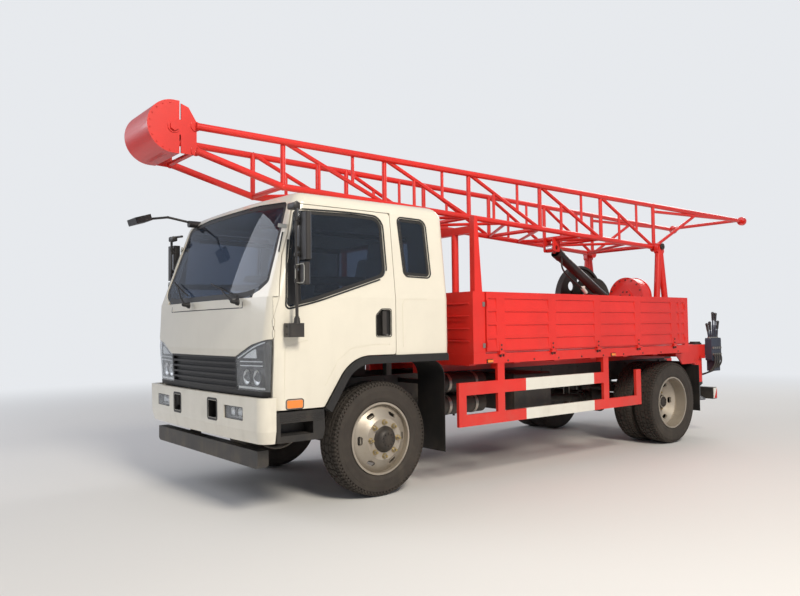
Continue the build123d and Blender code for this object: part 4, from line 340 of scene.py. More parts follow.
def round_edges(bm, made, radius, segments=2):
    edges = list({e for v in made["verts"] for e in v.link_edges})
    bmesh.ops.bevel(bm, geom=edges, offset=radius, segments=segments, profile=0.5, affect="EDGES", material=-1)


def add_block(bm, low, high, edge=0.0, segments=2):
    """A box between two corners with its edges rounded."""
    turn = Matrix.Translation((low + high) / 2) @ Matrix.Diagonal((*(high - low), 1))
    made = bmesh.ops.create_cube(bm, size=1.0, matrix=turn)
    if edge:
        round_edges(bm, made, edge, segments)


def add_side_block(bm, side, low, high, edge, segments=1):
    """A box given on the left side, or its twin on the right."""
    if side < 0:
        low.x, high.x = -high.x, -low.x
    add_block(bm, low, high, edge, segments)


def add_face(bm, points):
    return bm.faces.new([bm.verts.new(p) for p in points])


def outline_face(bm, points, corners, step=0.05):
    """A lone flat face with its corners cut round by their own amounts and its long edges divided."""
    add_face(bm, points)
    verts = list(bm.verts)
    for amount in sorted(set(corners)):
        if amount:
            own = [vert for vert, corner in zip(verts, corners) if corner == amount]
            bmesh.ops.bevel(bm, geom=own, offset=amount, segments=5, profile=0.5, affect="VERTICES",
                            material=-1)
    for edge in [e for e in bm.edges if e.calc_length() > step]:
        bmesh.ops.subdivide_edges(bm, edges=[edge], cuts=int(edge.calc_length() / step))
    return next(iter(bm.faces))


def made_verts(made):
    return [item for item in made["geom"] if isinstance(item, bmesh.types.BMVert)]


def add_plate(bm, points, depth):
    """A flat outline carried along depth."""
    raised = bmesh.ops.extrude_face_region(bm, geom=[add_face(bm, points)])
    bmesh.ops.translate(bm, vec=depth, verts=made_verts(raised))


def add_turned(bm, profile, centre, axis, steps=48):
    """A profile of (along, radius) points turned round an axis through centre."""
    turn = Matrix.Translation(centre) @ oriented(axis)
    line = [bm.verts.new(turn @ Vector((radius, 0, along))) for along, radius in profile]
    edges = [bm.edges.new(pair) for pair in zip(line, line[1:])]
    bmesh.ops.spin(bm, geom=line + edges, cent=centre, axis=Vector(axis), angle=math.tau, steps=steps,
                   use_merge=True)
    bmesh.ops.remove_doubles(bm, verts=bm.verts, dist=1e-5)


def add_band(bm, centre, axis, along, half, inner, outer, steps):
    """A flat band round an axis, some way along it, open on its inner side."""
    section = [(along - half, inner), (along - half, outer), (along + half, outer), (along + half, inner)]
    add_turned(bm, section, centre, axis, steps)


def even_angles(count, shift=0.0):
    return [math.tau * (i + shift) / count for i in range(count)]


def round_spots(centre, first, second, radius, angles):
    """Points on a circle about a centre, in the plane of two directions."""
    return [centre + radius * (math.cos(a) * Vector(first) + math.sin(a) * Vector(second)) for a in angles]


def add_stub(bm, spot, way, start, end, radius, sides=16, end_radius=None):
    """A rod along a direction from a spot, between two distances."""
    way = Vector(way)
    add_rod(bm, spot + way * start, spot + way * end, radius, sides, end_radius)


def add_ball(bm, centre, radius, rings=10):
    bmesh.ops.create_uvsphere(bm, u_segments=2 * rings, v_segments=rings, radius=radius,
                              matrix=Matrix.Translation(centre))


def add_bolt(bm, place, out, size=0.012, height=0.008):
    """A bolt head on its washer, standing out of a surface."""
    out = Vector(out).normalized()
    add_stub(bm, place, out, -0.001, height * 0.3, size * 1.05, 14)
    add_stub(bm, place, out, height * 0.3, height, size * 0.8, 6)


def mirrored(bm):
    """The same shape on the truck's other side as well."""
    bmesh.ops.mirror(bm, geom=list(bm.verts) + list(bm.edges) + list(bm.faces), axis="X", merge_dist=-1.0)


def to_side(side, *shapes):
    """Carries shapes made on the left over to the right."""
    if side < 0:
        for shape in shapes:
            bmesh.ops.scale(shape, vec=(-1, 1, 1), verts=shape.verts)


def put(name, data):
    """A new object in the scene."""
    made = bpy.data.objects.new(name, data)
    bpy.context.scene.collection.objects.link(made)
    return made


def as_mesh(bm, name):
    mesh = bpy.data.meshes.new(name)
    bm.to_mesh(mesh)
    bm.free()
    return mesh


def final_mesh(holder):
    """An object's mesh after its modifiers; the object itself goes."""
    mesh = bpy.data.meshes.new_from_object(holder.evaluated_get(bpy.context.evaluated_depsgraph_get()))
    bpy.data.objects.remove(holder)
    return mesh


def dressed(name, mesh, look, body):
    """A mesh as a piece with its finish and slot, that rides on a body."""
    mesh.materials.clear()
    mesh.materials.append(materials[look])
    mesh.shade_smooth()
    piece = put(name, mesh)
    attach(piece, body)
    return piece


def keep(bm, name, look, body="truck", smooth=35.0, closed=True):
    """Turns a finished shape into a piece."""
    if closed:
        bmesh.ops.recalc_face_normals(bm, faces=bm.faces)
    mesh = as_mesh(bm, name)
    piece = dressed(name, mesh, look, body)
    mesh.set_sharp_from_angle(angle=math.radians(smooth))
    return piece


def keep_pair(bm, name, look):
    """A shape made on the left and its twin on the right, as one piece."""
    mirrored(bm)
    return keep(bm, name, look)


def keep_lamp(bm, name, look, closed=True):
    """A piece that takes the place of the CAD lamps."""
    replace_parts(keep(bm, name, look, closed=closed), "lamps")


def with_modifier(bm, kind, **settings):
    """The shape after one modifier, applied."""
    holder = put("shape", as_mesh(bm, "shape"))
    modifier = holder.modifiers.new(kind, kind)
    for label, value in settings.items():
        setattr(modifier, label, value)
    bpy.context.view_layer.update()
    mesh = final_mesh(holder)
    shaped = bmesh.new()
    shaped.from_mesh(mesh)
    bpy.data.meshes.remove(mesh)
    return shaped


def walled(bm, thickness, offset):
    return with_modifier(bm, "SOLIDIFY", thickness=thickness, offset=offset)


def tube(name, points, radius, look, body="truck"):
    """A bent pipe or hose led by a few control points."""
    curve = bpy.data.curves.new(name, "CURVE")
    curve.dimensions = "3D"
    curve.bevel_depth = radius
    curve.bevel_resolution = 3
    curve.resolution_u = 8
    spline = curve.splines.new("NURBS")
    spline.points.add(len(points) - 1)
    for point, place in zip(spline.points, points):
        point.co = (*place, 1)
    spline.order_u = 3
    spline.use_endpoint_u = True
    curve.use_fill_caps = True
    dressed(name, final_mesh(put(name, curve)), look, body)


def node_faces(name, wanted):
    """Copies of the faces of a CAD node that meet a test, as a shape of their own."""
    bm = bmesh.new()
    bm.from_mesh(node[name].data)
    bmesh.ops.remove_doubles(bm, verts=bm.verts, dist=1e-5)
    bmesh.ops.delete(bm, geom=[f for f in bm.faces if not wanted(f)], context="FACES")
    return bm


# What an outward ring keeps off its opening's edge, and how far a laid point has to have moved
RING_MARGIN = 0.003
LEAST_TRAVEL = 0.02
LONG_EDGE = 0.07


def grow_face(face, width):
    """Moves a flat face's rim outwards by a width, in its own plane."""
    face.normal_update()
    places = []
    for loop in face.loops:
        before = (loop.vert.co - loop.link_loop_prev.vert.co).normalized()
        after = (loop.link_loop_next.vert.co - loop.vert.co).normalized()
        out = (before + after).cross(face.normal).normalized()
        places.append(loop.vert.co + out * (width / max(0.4, out.dot(before.cross(face.normal)))))
    for loop, place in zip(face.loops, places):
        loop.vert.co = place


def beside(side, points):
    """An outline in the plane beside the cab, from (y, z) points."""
    return [at(side * SIDE_PLANE, y, z) for y, z in points]


def ahead(side, points):
    """An outline in the plane before the cab, from (x, z) points."""
    return [at(side * x, FRONT_PLANE, z) for x, z in points]


def laid(name, points, corners, onto, look, width=None, outward=False, thick=0.003, lift=0.002,
         shrink=0.0015, body="truck"):
    """A flat outline laid onto a CAD node, square to its plane: a ring of some width, or the whole field.

    outward puts the ring outside the outline. Points that miss the node are taken off.
    """
    bm = bmesh.new()
    face = outline_face(bm, points, corners)
    if shrink and not outward:
        bmesh.ops.inset_region(bm, faces=[face], thickness=shrink, use_boundary=True, use_even_offset=True)
        bmesh.ops.delete(bm, geom=[f for f in bm.faces if f is not face], context="FACES")
    if width:
        if outward:
            grow_face(face, width + RING_MARGIN)
        bmesh.ops.inset_region(bm, faces=[face], thickness=width, use_boundary=True, use_even_offset=True)
        bmesh.ops.delete(bm, geom=[face], context="FACES")
    else:
        bmesh.ops.triangulate(bm, faces=bm.faces)
        for _ in range(4):
            long_edges = [e for e in bm.edges if e.calc_length() > LONG_EDGE]
            if long_edges:
                bmesh.ops.subdivide_edges(bm, edges=long_edges, cuts=1)
                bmesh.ops.triangulate(bm, faces=bm.faces)
    axis = int(any(point.x != points[0].x for point in points))
    start = points[0][axis]
    bm = with_modifier(bm, "SHRINKWRAP", wrap_method="PROJECT", target=node[onto], use_project_x=axis == 0,
                       use_project_y=axis == 1, use_project_z=False, use_negative_direction=True,
                       use_positive_direction=True, offset=lift)
    missed = [v for v in bm.verts if abs(v.co[axis] - start) < LEAST_TRAVEL]
    bmesh.ops.delete(bm, geom=missed, context="VERTS")
    return keep(walled(bm, thick, 0.0), name, look, body)


# Tyres with their tread and sidewall rings

TYRE_STEPS = 168
GROOVE_DEPTH = 0.0075

# Rows of tread: from and to (out from the tyre's middle), least radius, steps between grooves
TREAD_ROWS = ((0.0, 0.022, 0.468, 4), (0.0335, 0.058, 0.468, 3), (0.0695, 0.090, 0.465, 2),
              (0.090, 0.108, 0.456, 2), (0.108, 0.1128, 0.4360, 2))


def tyre_profile():
    """Half of a tyre's section as (out from its middle, radius), from the crown to the bead."""
    return [(0.0, 0.4738), (0.022, 0.4736), (0.0245, 0.4640), (0.031, 0.4638), (0.0335, 0.4732),
            (0.058, 0.4722), (0.0605, 0.4630), (0.067, 0.4626), (0.0695, 0.4712), (0.088, 0.4690),
            (0.104, 0.4640), (0.1105, 0.4520), (0.1125, 0.4400), (0.1120, 0.4345), (0.1160, 0.4300),
            (0.1195, 0.4020), (0.1200, 0.3990), (0.1216, 0.3965), (0.1218, 0.3700), (0.1195, 0.3480),
            (0.1207, 0.3440), (0.1180, 0.3300), (0.1120, 0.3190), (0.1095, 0.3080), (0.0950, 0.2990),
            (0.0910, 0.2905)]


def make_tyre(centre):
    """A tyre turned round its axle, with its tread blocks parted by cross grooves."""
    bm = bmesh.new()
    half = tyre_profile()
    section = [(-a, r) for a, r in reversed(half)] + half[1:]
    add_turned(bm, section, centre, (1, 0, 0), TYRE_STEPS)
    bmesh.ops.recalc_face_normals(bm, faces=bm.faces)
    step = math.tau / TYRE_STEPS
    grooves = []
    for face in bm.faces:
        middle = face.calc_center_median() - centre
        radius = math.hypot(middle.y, middle.z)
        turn = int((math.atan2(middle.z, middle.y) % math.tau) / step)
        for number, (inner, outer, least, every) in enumerate(TREAD_ROWS):
            if inner <= abs(middle.x) < outer and radius > least and (turn + number // 2) % every == 0:
                grooves.append(face)
    bmesh.ops.inset_individual(bm, faces=grooves, thickness=0.0022, depth=-GROOVE_DEPTH)
    return bm


def make_tyres(name, centres, body, *nodes):
    bm = bmesh.new()
    for centre in centres:
        mesh = as_mesh(make_tyre(centre), "one_tyre")
        bm.from_mesh(mesh)
        bpy.data.meshes.remove(mesh)
    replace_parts(keep(bm, name, "tyre_rubber", body, 28.0), *nodes)


for side, word in SIDES:
    make_tyres(f"treaded_front_tyre_{word}", [at(side * 0.870, 0, AXLE_Z)], f"wheel_front_{word}",
               f"front_tyre_{word}")
    make_tyres(f"treaded_rear_tyres_{word}", [at(side * x, REAR_AXLE, AXLE_Z) for x in (0.714, 0.996)],
               f"wheel_rear_{word}", f"rear_tyres_{word}")


# Wheel dressing: dark hubs with their flanges and bolts, and bright nut ends

NUT_CIRCLE = 0.138
CAP_BOLT_CIRCLE = 0.050


def dress_wheel(side, body, face_x, y, cap_x, flange=0.0):
    """Hub cap, nuts and dark ring of a wheel: its disc at face_x, its cap out to cap_x."""
    centre = at(0, y, AXLE_Z)
    hub = bmesh.new()
    if flange:
        ring = [(0.0010, 0.090), (0.0010, flange + 0.002), (0.0038, flange), (0.0038, 0.090)]
        add_turned(hub, [(side * (face_x + x), radius) for x, radius in ring], centre, (1, 0, 0), 48)
    foot = [(face_x + x, radius) for x, radius in ((0.0015, 0.106), (0.006, 0.108), (0.012, 0.100),
                                                   (0.030, 0.090))]
    cap = [(cap_x + x, radius) for x, radius in ((-0.004, 0.0725), (0.001, 0.060), (0.0015, 0.001))]
    add_turned(hub, [(side * x, radius) for x, radius in foot + cap], centre, (1, 0, 0), 40)
    out = Vector((side, 0, 0))
    for spot in round_spots(centre + out * (cap_x + 0.001), (0, 1, 0), (0, 0, 1), CAP_BOLT_CIRCLE,
                            even_angles(10, 0.5)):
        add_stub(hub, spot, out, 0, 0.008, 0.0065, 6)
    keep(hub, f"{body}_hub_cover", "hub_dark", body)
    nuts = bmesh.new()
    disc = centre + out * (face_x + 0.030)
    for spot in round_spots(disc, (0, 0, 1), (0, 1, 0), NUT_CIRCLE, even_angles(8)):
        add_stub(nuts, spot, out, -0.029, -0.024, 0.023, 20)
        add_stub(nuts, spot, out, -0.003, 0.003, 0.0145, 18, 0.011)
        add_stub(nuts, spot, out, 0.002, 0.011, 0.0085, 14)
    keep(nuts, f"{body}_nut_ends", "nut_brass", body)


for side, word in SIDES:
    dress_wheel(side, f"wheel_front_{word}", 1.016, 0, 1.074)
    dress_wheel(side, f"wheel_rear_{word}", 0.868, REAR_AXLE, 0.980, flange=0.168)


# Cab glazing: black print on the glass and rubber round it

SCREEN = [(0.780, 1.632), (0.930, 1.684), (1.018, 1.742), (0.990, 1.980), (0.932, 2.372), (0.480, 2.402)]
SCREEN_CORNERS = [0.15, 0.05, 0.035, 0.2, 0.05, 0.3]
DOOR_WINDOW = [(-0.972, 1.545), (-0.730, 1.598), (-0.036, 1.812), (-0.042, 2.296), (-0.330, 2.306),
               (-0.852, 2.290), (-0.905, 2.080), (-0.950, 1.850)]
DOOR_WINDOW_CORNERS = [0.03, 0.1, 0.07, 0.09, 0.15, 0.03, 0.1, 0.1]
QUARTER_WINDOW = [(0.162, 1.826), (0.440, 1.820), (0.424, 2.306), (0.132, 2.310)]
QUARTER_CORNERS = [0.038, 0.038, 0.06, 0.038]
PRINT = {"thick": 0.0012, "lift": 0.001}
SEAL = {"outward": True, "thick": 0.005, "lift": 0.001}
REAR_WINDOW = [(-0.620, 1.760), (0.620, 1.760), (0.600, 2.230), (-0.600, 2.230)]


def cab_front(x, z, inset=0.0):
    """How far forward the cab's skin is at a point of its front, from the front axle."""
    lean = max(z - 1.630, 0.0) * 0.338
    return -1.170 + inset + lean + 0.042 * (x / 1.038) ** 2


def seal_windows():
    """The printed border on every pane, the rubber round it, and the dark front field of the door glass."""
    screen = ahead(1, SCREEN) + ahead(-1, reversed(SCREEN))
    laid("windscreen_print", screen, SCREEN_CORNERS + SCREEN_CORNERS[::-1], "cab_glass", "door_rubber",
         width=0.042, **PRINT)
    for side, word in SIDES:
        body = f"door_{word}"
        window = beside(side, DOOR_WINDOW)
        laid(f"door_window_print_{word}", window, DOOR_WINDOW_CORNERS, f"door_glass_{word}",
             "door_rubber", width=0.026, body=body, **PRINT)
        laid(f"door_window_seal_{word}", window, DOOR_WINDOW_CORNERS, body, "door_rubber", width=0.013,
             body=body, **SEAL)
        front = [(-0.958, 1.560), (-0.845, 1.585), (-0.838, 1.850), (-0.800, 2.284), (-0.848, 2.280),
                 (-0.903, 2.075), (-0.946, 1.850)]
        laid(f"door_window_front_{word}", beside(side, front), [0.01] * 7, f"door_glass_{word}",
             "black_plastic", thick=0.0014, lift=0.0012, body=body)
        quarter = beside(side, QUARTER_WINDOW)
        laid(f"quarter_window_print_{word}", quarter, QUARTER_CORNERS, "cab_glass", "door_rubber",
             width=0.026, **PRINT)
        laid(f"quarter_window_seal_{word}", quarter, QUARTER_CORNERS, "cab_sides", "door_rubber",
             width=0.012, **SEAL)
    rear = [at(x, BACK_PLANE, z) for x, z in REAR_WINDOW]
    laid("rear_window_print", rear, [0.05] * 4, "cab_glass", "door_rubber", width=0.028, **PRINT)
    laid("rear_window_seal", rear, [0.05] * 4, "cab_back_wall", "door_rubber", width=0.014, **SEAL)


HALF_BLADE = 0.27


def on_glass(x, z, off):
    """A point some way off the windscreen's outer face."""
    return at(x, cab_front(x, z, 0.009) - off, z)


def wipers():
    """Two wipers at rest near the foot of the windscreen, on spindles under the glass."""
    for name, spindle, tip in (("wiper_left", (0.695, 1.602), (0.409, 1.709)),
                               ("wiper_right", (-0.212, 1.606), (-0.547, 1.768))):
        bm = bmesh.new()
        foot = at(spindle[0], cab_front(*spindle), spindle[1])
        add_rod(bm, foot + Vector((0, 0.004, 0)), foot + Vector((0, -0.012, 0)), 0.030, 20, 0.026)
        add_rod(bm, foot + Vector((0, -0.010, 0)), foot + Vector((0, -0.046, 0.004)), 0.019, 18, 0.016)
        add_ball(bm, foot + Vector((0, -0.046, 0.004)), 0.0165, 6)
        along = Vector((tip[0] - spindle[0], tip[1] - spindle[1]))
        knee = on_glass(spindle[0] + along.x * 0.42, spindle[1] + along.y * 0.42, 0.042)
        hook = on_glass(*tip, 0.026)
        add_rod(bm, foot + Vector((0, -0.040, 0.002)), knee, 0.011, 10, 0.008)
        add_rod(bm, knee, hook, 0.0065, 8, 0.005)
        run = along.normalized()
        flat = Vector((run.x, run.y * 0.62)).normalized()
        stations = [on_glass(tip[0] + flat.x * s * HALF_BLADE, tip[1] + flat.y * s * HALF_BLADE, 0.007)
                    for s in (-1.0, -0.5, 0.0, 0.5, 1.0)]
        for a, b in zip(stations, stations[1:]):
            add_rod(bm, a, b, 0.006, 8)
        raised = [p + Vector((0, -0.013, 0.004)) for p in stations]
        add_rod(bm, hook, raised[2], 0.008, 8)
        for a, b in ((1, 2), (2, 3)):
            add_rod(bm, raised[a], raised[b], 0.0042, 6)
        for a, b in ((1, 0), (3, 4), (1, 2), (3, 2)):
            add_rod(bm, raised[a], stations[b].lerp(stations[a], 0.25), 0.0034, 6)
        keep(bm, name, "door_rubber", "truck")


def cover_handles():
    """Black linings with a raised lip, in the doors' handle pockets."""
    pocket = [(-0.150, 1.324), (-0.006, 1.324), (-0.006, 1.538), (-0.100, 1.538), (-0.150, 1.490)]
    for side, word in SIDES:
        body = f"door_{word}"

        def in_pocket(face):
            return all(-0.1515 < v.co.y - FRONT_AXLE_Y < -0.0045 and 1.3225 < v.co.z < 1.5395
                       and side * v.co.x > 1.05 for v in face.verts)

        lining = walled(node_faces(body, in_pocket), 0.0008, 1.0)
        keep(lining, f"handle_cup_{word}", "black_plastic", body)
        laid(f"handle_lip_{word}", beside(side, pocket), [0.012] * 5, body, "black_plastic", width=0.006,
             outward=True, thick=0.004, lift=0.001, body=body)


seal_windows()
wipers()
cover_handles()


# Lamps, their lenses, housings and reflectors

def front_y(face):
    return face.calc_center_median().y - FRONT_AXLE_Y


def split_lamp(front_name, case_name, belongs, clear):
    """A lamp's clear front and the dark case behind it, from the faces of the CAD lamps."""
    front = node_faces("lamps", lambda f: belongs(f) and clear(f))
    keep_lamp(walled(front, 0.003, -1.0), front_name, "lamp_glass")
    case = node_faces("lamps", lambda f: belongs(f) and not clear(f))
    keep_lamp(walled(case, 0.002, -1.0), case_name, "black_plastic")


def tray(low, high, open_side, wall=0.003):
    """A thin box with one side left open, as the liner behind an opening; made dark, it paints the opening's
    shade.
    """
    bm = bmesh.new()
    add_block(bm, low, high)
    gone = [f for f in bm.faces if f.normal.dot(Vector(open_side)) > 0.9]
    bmesh.ops.delete(bm, geom=gone, context="FACES")
    return walled(bm, wall, -1.0)


BOWLS = ((0.760, 1.030), (0.905, 1.030))


def head_lamps():
    """Clear curved lenses over dark housings, with a bright wing, two bars, two bowls and a light strip."""
    for side, word in SIDES:
        outwards = Vector((0.5 * side, -0.86, 0))

        def of_head(face):
            middle = face.calc_center_median()
            return middle.z > 0.92 and side * middle.x > 0.64 and front_y(face) < -1.0

        split_lamp(f"head_lamp_lens_{word}", f"head_lamp_housing_{word}", of_head,
                   lambda f: f.normal.dot(outwards) > 0.35)

        def inside(name, points, corners, look, lift=-0.012):
            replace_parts(laid(f"{name}_{word}", ahead(side, points), corners, "lamps", look, thick=0.004,
                             lift=lift, shrink=0.0), "lamps")

        inside("head_lamp_wing", [(0.742, 1.174), (0.938, 1.176), (0.934, 1.246), (0.850, 1.224)],
               [0.008, 0.006, 0.012, 0.06], "reflector", lift=-0.010)
        for number, z in enumerate((1.112, 1.143)):
            inside(f"head_lamp_bar_{number + 1}", [(0.690, z), (1.005, z + 0.004), (1.005, z + 0.012),
                                                   (0.690, z + 0.008)], [0.003] * 4, "reflector", lift=-0.012)
        inside("head_lamp_light_strip", [(0.660, 0.944), (1.020, 0.944), (1.020, 0.960), (0.660, 0.960)],
               [0.005] * 4, "lamp_white", lift=-0.009)
        inside("head_lamp_brow", [(0.660, 1.176), (0.745, 1.205), (0.885, 1.262), (1.040, 1.298),
                                  (1.040, 1.290), (0.888, 1.253), (0.750, 1.196), (0.665, 1.168)],
               [0.002, 0.05, 0.08, 0.002, 0.002, 0.08, 0.05, 0.002], "reflector", lift=-0.010)
        bowls, eyes = bmesh.new(), bmesh.new()
        for x, z in BOWLS:
            centre = at(side * x, cab_front(x, z) + 0.040, z)
            add_turned(bowls, [(0.0, 0.056), (0.004, 0.054), (0.012, 0.042), (0.018, 0.024), (0.020, 0.010),
                               (0.020, 0.001)], centre, (0, 1, 0), 32)
            add_ball(eyes, at(side * x, cab_front(x, z) + 0.046, z), 0.026, 8)
        keep_lamp(bowls, f"head_lamp_bowls_{word}", "reflector", closed=False)
        keep_lamp(eyes, f"head_lamp_eyes_{word}", "lamp_glass")


def fog_lamps():
    """The bumper's lamps: a clear pane, a dark box, two bowls, and a bright strip along the bottom that is a
    painted reflection.
    """
    for side, word in SIDES:
        def of_fog(face):
            middle = face.calc_center_median()
            return middle.z < 0.83 and side * middle.x > 0.5 and front_y(face) < -1.0

        split_lamp(f"fog_lamp_pane_{word}", f"fog_lamp_box_{word}", of_fog, lambda f: f.normal.y < -0.5)
        bright = bmesh.new()
        for x, y in ((0.660, -1.172), (0.762, -1.164)):
            add_turned(bright, [(0.0, 0.034), (0.010, 0.030), (0.024, 0.016), (0.028, 0.006), (0.028, 0.001)],
                       at(side * x, y, 0.768), (0, 1, 0), 28)
        # A bright strip along the lamp's foot, a painted reflection.
        add_side_block(bright, side, at(0.60, -1.166, 0.724), at(0.82, -1.136, 0.730), 0.002)
        keep_lamp(bright, f"fog_lamp_bowls_and_painted_reflection_{word}", "reflector")


def side_markers():
    """Amber lamps on dark bases along the bed's sill, and one low on each door."""
    lenses, bases = bmesh.new(), bmesh.new()
    for y in (1.06, 2.91):
        add_block(bases, at(1.200, y - 0.040, 1.062), at(1.205, y + 0.040, 1.098), 0.001, 1)
        add_block(lenses, at(1.204, y - 0.034, 1.067), at(1.214, y + 0.034, 1.093), 0.004)
    mirrored(lenses)
    mirrored(bases)
    keep_lamp(lenses, "bed_marker_lenses", "amber_lens")
    keep_lamp(bases, "bed_marker_bases", "black_plastic")
    corners = [(-0.968, 0.806), (-0.834, 0.806), (-0.834, 0.866), (-0.968, 0.866)]
    for side, word in SIDES:
        outline = beside(side, corners)
        door = f"door_{word}"
        laid(f"door_marker_lens_{word}", outline, [0.012] * 4, door, "amber_lens", thick=0.006, lift=0.003,
             body=door)
        laid(f"door_marker_frame_{word}", outline, [0.012] * 4, door, "black_plastic", width=0.006, body=door,
             **SEAL)


def bumper_painted_shade():
    """Painted shade in the bumper's two openings: dark liners behind them, and a dark lining on the openings'
    own walls.
    """
    for side, word in SIDES:
        low_x, high_x = (0.284, 0.436) if side > 0 else (-0.436, -0.284)
        # A black box behind the opening, painted shade.
        liner = tray(at(low_x, -1.185, 0.694), at(high_x, -1.085, 0.841), (0, -1, 0))
        keep(liner, f"bumper_duct_{word}", "black_plastic")

        def of_opening(face):
            return all(0.2885 < side * v.co.x < 0.4315 and 0.6985 < v.co.z < 0.8365 for v in face.verts)

        # The opening's own walls lined black, painted shade.
        lining = node_faces("bumper", of_opening)
        lining = walled(lining, 0.0008, 1.0)
        keep(lining, f"bumper_opening_shade_{word}", "black_plastic")


def mirror_panes():
    """Silvered panes set into the rear faces of the mirror heads, and the pale rim of the small head."""
    for side, word in SIDES:
        pane = node_faces(f"mirror_{word}", lambda f: f.normal.y > 0.75 and f.calc_center_median().z > 1.70
                          and side * f.calc_center_median().x > 1.19)
        bmesh.ops.dissolve_limit(pane, angle_limit=0.02, verts=pane.verts, edges=pane.edges)
        whole = list(pane.faces)
        bmesh.ops.inset_individual(pane, faces=whole, thickness=0.011)
        bmesh.ops.delete(pane, geom=[f for f in pane.faces if f not in whole], context="FACES")
        for face in pane.faces:
            bmesh.ops.translate(pane, vec=face.normal * 0.0012, verts=list(face.verts))
        pane = walled(pane, 0.001, 1.0)
        keep(pane, f"mirror_panes_{word}", "mirror_glass", f"door_{word}")
        corners = ((1.212, 1.718), (1.318, 1.718), (1.318, 1.866), (1.212, 1.866))
        laid(f"mirror_rim_{word}", ahead(side, corners), [0.030] * 4, f"mirror_{word}", "clip_grey",
             width=0.007, thick=0.004, lift=0.001, body=f"door_{word}")


head_lamps()
fog_lamps()
side_markers()
bumper_painted_shade()
mirror_panes()


# Bed sides: the pressing's bands, ribs, hinge straps and latches

SIDE_FACE = 1.2003
PRESSING = 0.0115
FIELDS = [(1.035, 1.145), (1.255, 1.867), (1.977, 2.589), (2.699, 3.311), (3.421, 4.033), (4.143, 4.196),
          (4.240, 4.306)]
BANDS = [(1.186, 1.281), (1.310, 1.405), (1.432, 1.527), (1.550, 1.645)]
RIBS = [1.200, 1.922, 2.644, 3.366, 4.088]
SIDE_FRONT, SIDE_REAR = 1.0165, 4.3285
SIDE_FOOT, SIDE_TOP = 1.1700, 1.7045


def pressed_side(word, side):
    """The outer pressing of a drop side: bands that lean in towards their upper edge, between upright ribs."""
    ys = [SIDE_FRONT] + [y for field in FIELDS for y in field] + [SIDE_REAR]
    zs = [SIDE_FOOT] + [z for band in BANDS for z in band] + [SIDE_TOP]
    bm = bmesh.new()
    grid = [[bm.verts.new(at(side * (SIDE_FACE + PRESSING), y, z)) for y in ys] for z in zs]
    sunk = []
    for row in range(len(zs) - 1):
        for column in range(len(ys) - 1):
            face = bm.faces.new((grid[row][column], grid[row][column + 1], grid[row + 1][column + 1],
                                 grid[row + 1][column]))
            if row % 2 and column % 2:
                sunk.append(face)
    rim = [e for e in bm.edges if len(e.link_faces) == 1]
    skirt = bmesh.ops.extrude_edge_only(bm, edges=rim)
    bmesh.ops.translate(bm, vec=Vector((-side * 0.0112, 0, 0)), verts=made_verts(skirt))
    bmesh.ops.recalc_face_normals(bm, faces=bm.faces)
    if sunk[0].normal.x * side < 0:
        bmesh.ops.reverse_faces(bm, faces=bm.faces)
    bmesh.ops.inset_individual(bm, faces=sunk, thickness=0.004, depth=-0.0105)
    for face in sunk:
        middle = face.calc_center_median().z
        low = [v for v in face.verts if v.co.z < middle]
        bmesh.ops.translate(bm, vec=Vector((side * 0.0095, 0, 0)), verts=low)
    keep(bm, f"drop_side_pressing_{word}", "rig_red", f"drop_side_{word}", closed=False)


def side_hardware(word, side):
    """Hinge straps with their bolts, and the latches at both ends."""
    face = SIDE_FACE + PRESSING
    straps, bolts = bmesh.new(), bmesh.new()
    out = (side, 0, 0)
    for y in RIBS:
        add_side_block(straps, side, at(face, y - 0.024, 1.1605), at(face + 0.004, y + 0.024, 1.240), 0.0015)
        for z in (1.182, 1.222):
            add_bolt(bolts, at(side * (face + 0.004), y, z), out, 0.009, 0.007)
    for y in (1.024, 4.321):
        for z, tall in ((1.628, 0.060), (1.250, 0.045)):
            add_side_block(straps, side, at(face, y - 0.006, z - tall), at(face + 0.008, y + 0.006, z), 0.002)
    keep(straps, f"drop_side_straps_{word}", "rig_red", f"drop_side_{word}")
    keep(bolts, f"drop_side_bolts_{word}", "dark_bolt", f"drop_side_{word}")


def bed_hardware():
    """Latch hooks on the corner posts, bolts along the sills and the beads across the headboard."""
    hooks, bolts = bmesh.new(), bmesh.new()
    for z in (1.600, 1.230):
        add_block(hooks, at(1.200, 0.975, z - 0.030), at(1.208, 1.005, z + 0.012), 0.002, 1)
        add_rod(hooks, at(1.206, 0.990, z + 0.004), at(1.206, 1.004, z + 0.004), 0.005, 10)
    for y in RIBS:
        add_bolt(bolts, at(1.200, y, 1.125), (1, 0, 0), 0.014, 0.011)
        add_bolt(bolts, at(1.200, y + 0.040, 1.125), (1, 0, 0), 0.010, 0.008)
    for i in range(9):
        add_bolt(bolts, at(1.200, 1.30 + i * 0.36, 1.078), (1, 0, 0), 0.009, 0.006)
    keep_pair(hooks, "bed_latch_hooks", "fitting_steel")
    keep_pair(bolts, "bed_sill_bolts", "dark_bolt")
    beads = bmesh.new()
    for z in (1.262, 1.374, 1.486, 1.598):
        add_block(beads, at(-1.155, 0.8525, z - 0.006), at(1.155, 0.8605, z + 0.006), 0.003, 1)
    keep(beads, "headboard_beads", "rig_red")


for side, word in SIDES:
    pressed_side(word, side)
    side_hardware(word, side)
bed_hardware()


# Cab panel seams

def panel_seams():
    """The dark joint round the service panel under the windscreen."""
    for name, low_x, high_x, low_z, high_z in (("foot", -0.712, 0.712, 1.553, 1.560),
                                               ("left", 0.712, 0.719, 1.553, 1.604),
                                               ("right", -0.719, -0.712, 1.553, 1.604)):
        corners = ((low_x, low_z), (high_x, low_z), (high_x, high_z), (low_x, high_z))
        laid(f"service_panel_seam_{name}", ahead(1, corners), [0.0015] * 4, "cab_front_panel", "door_rubber",
             thick=0.0012, lift=0.0002, shrink=0.0)


panel_seams()


# Running gear: bolts, spring clamps, tank straps and step treads

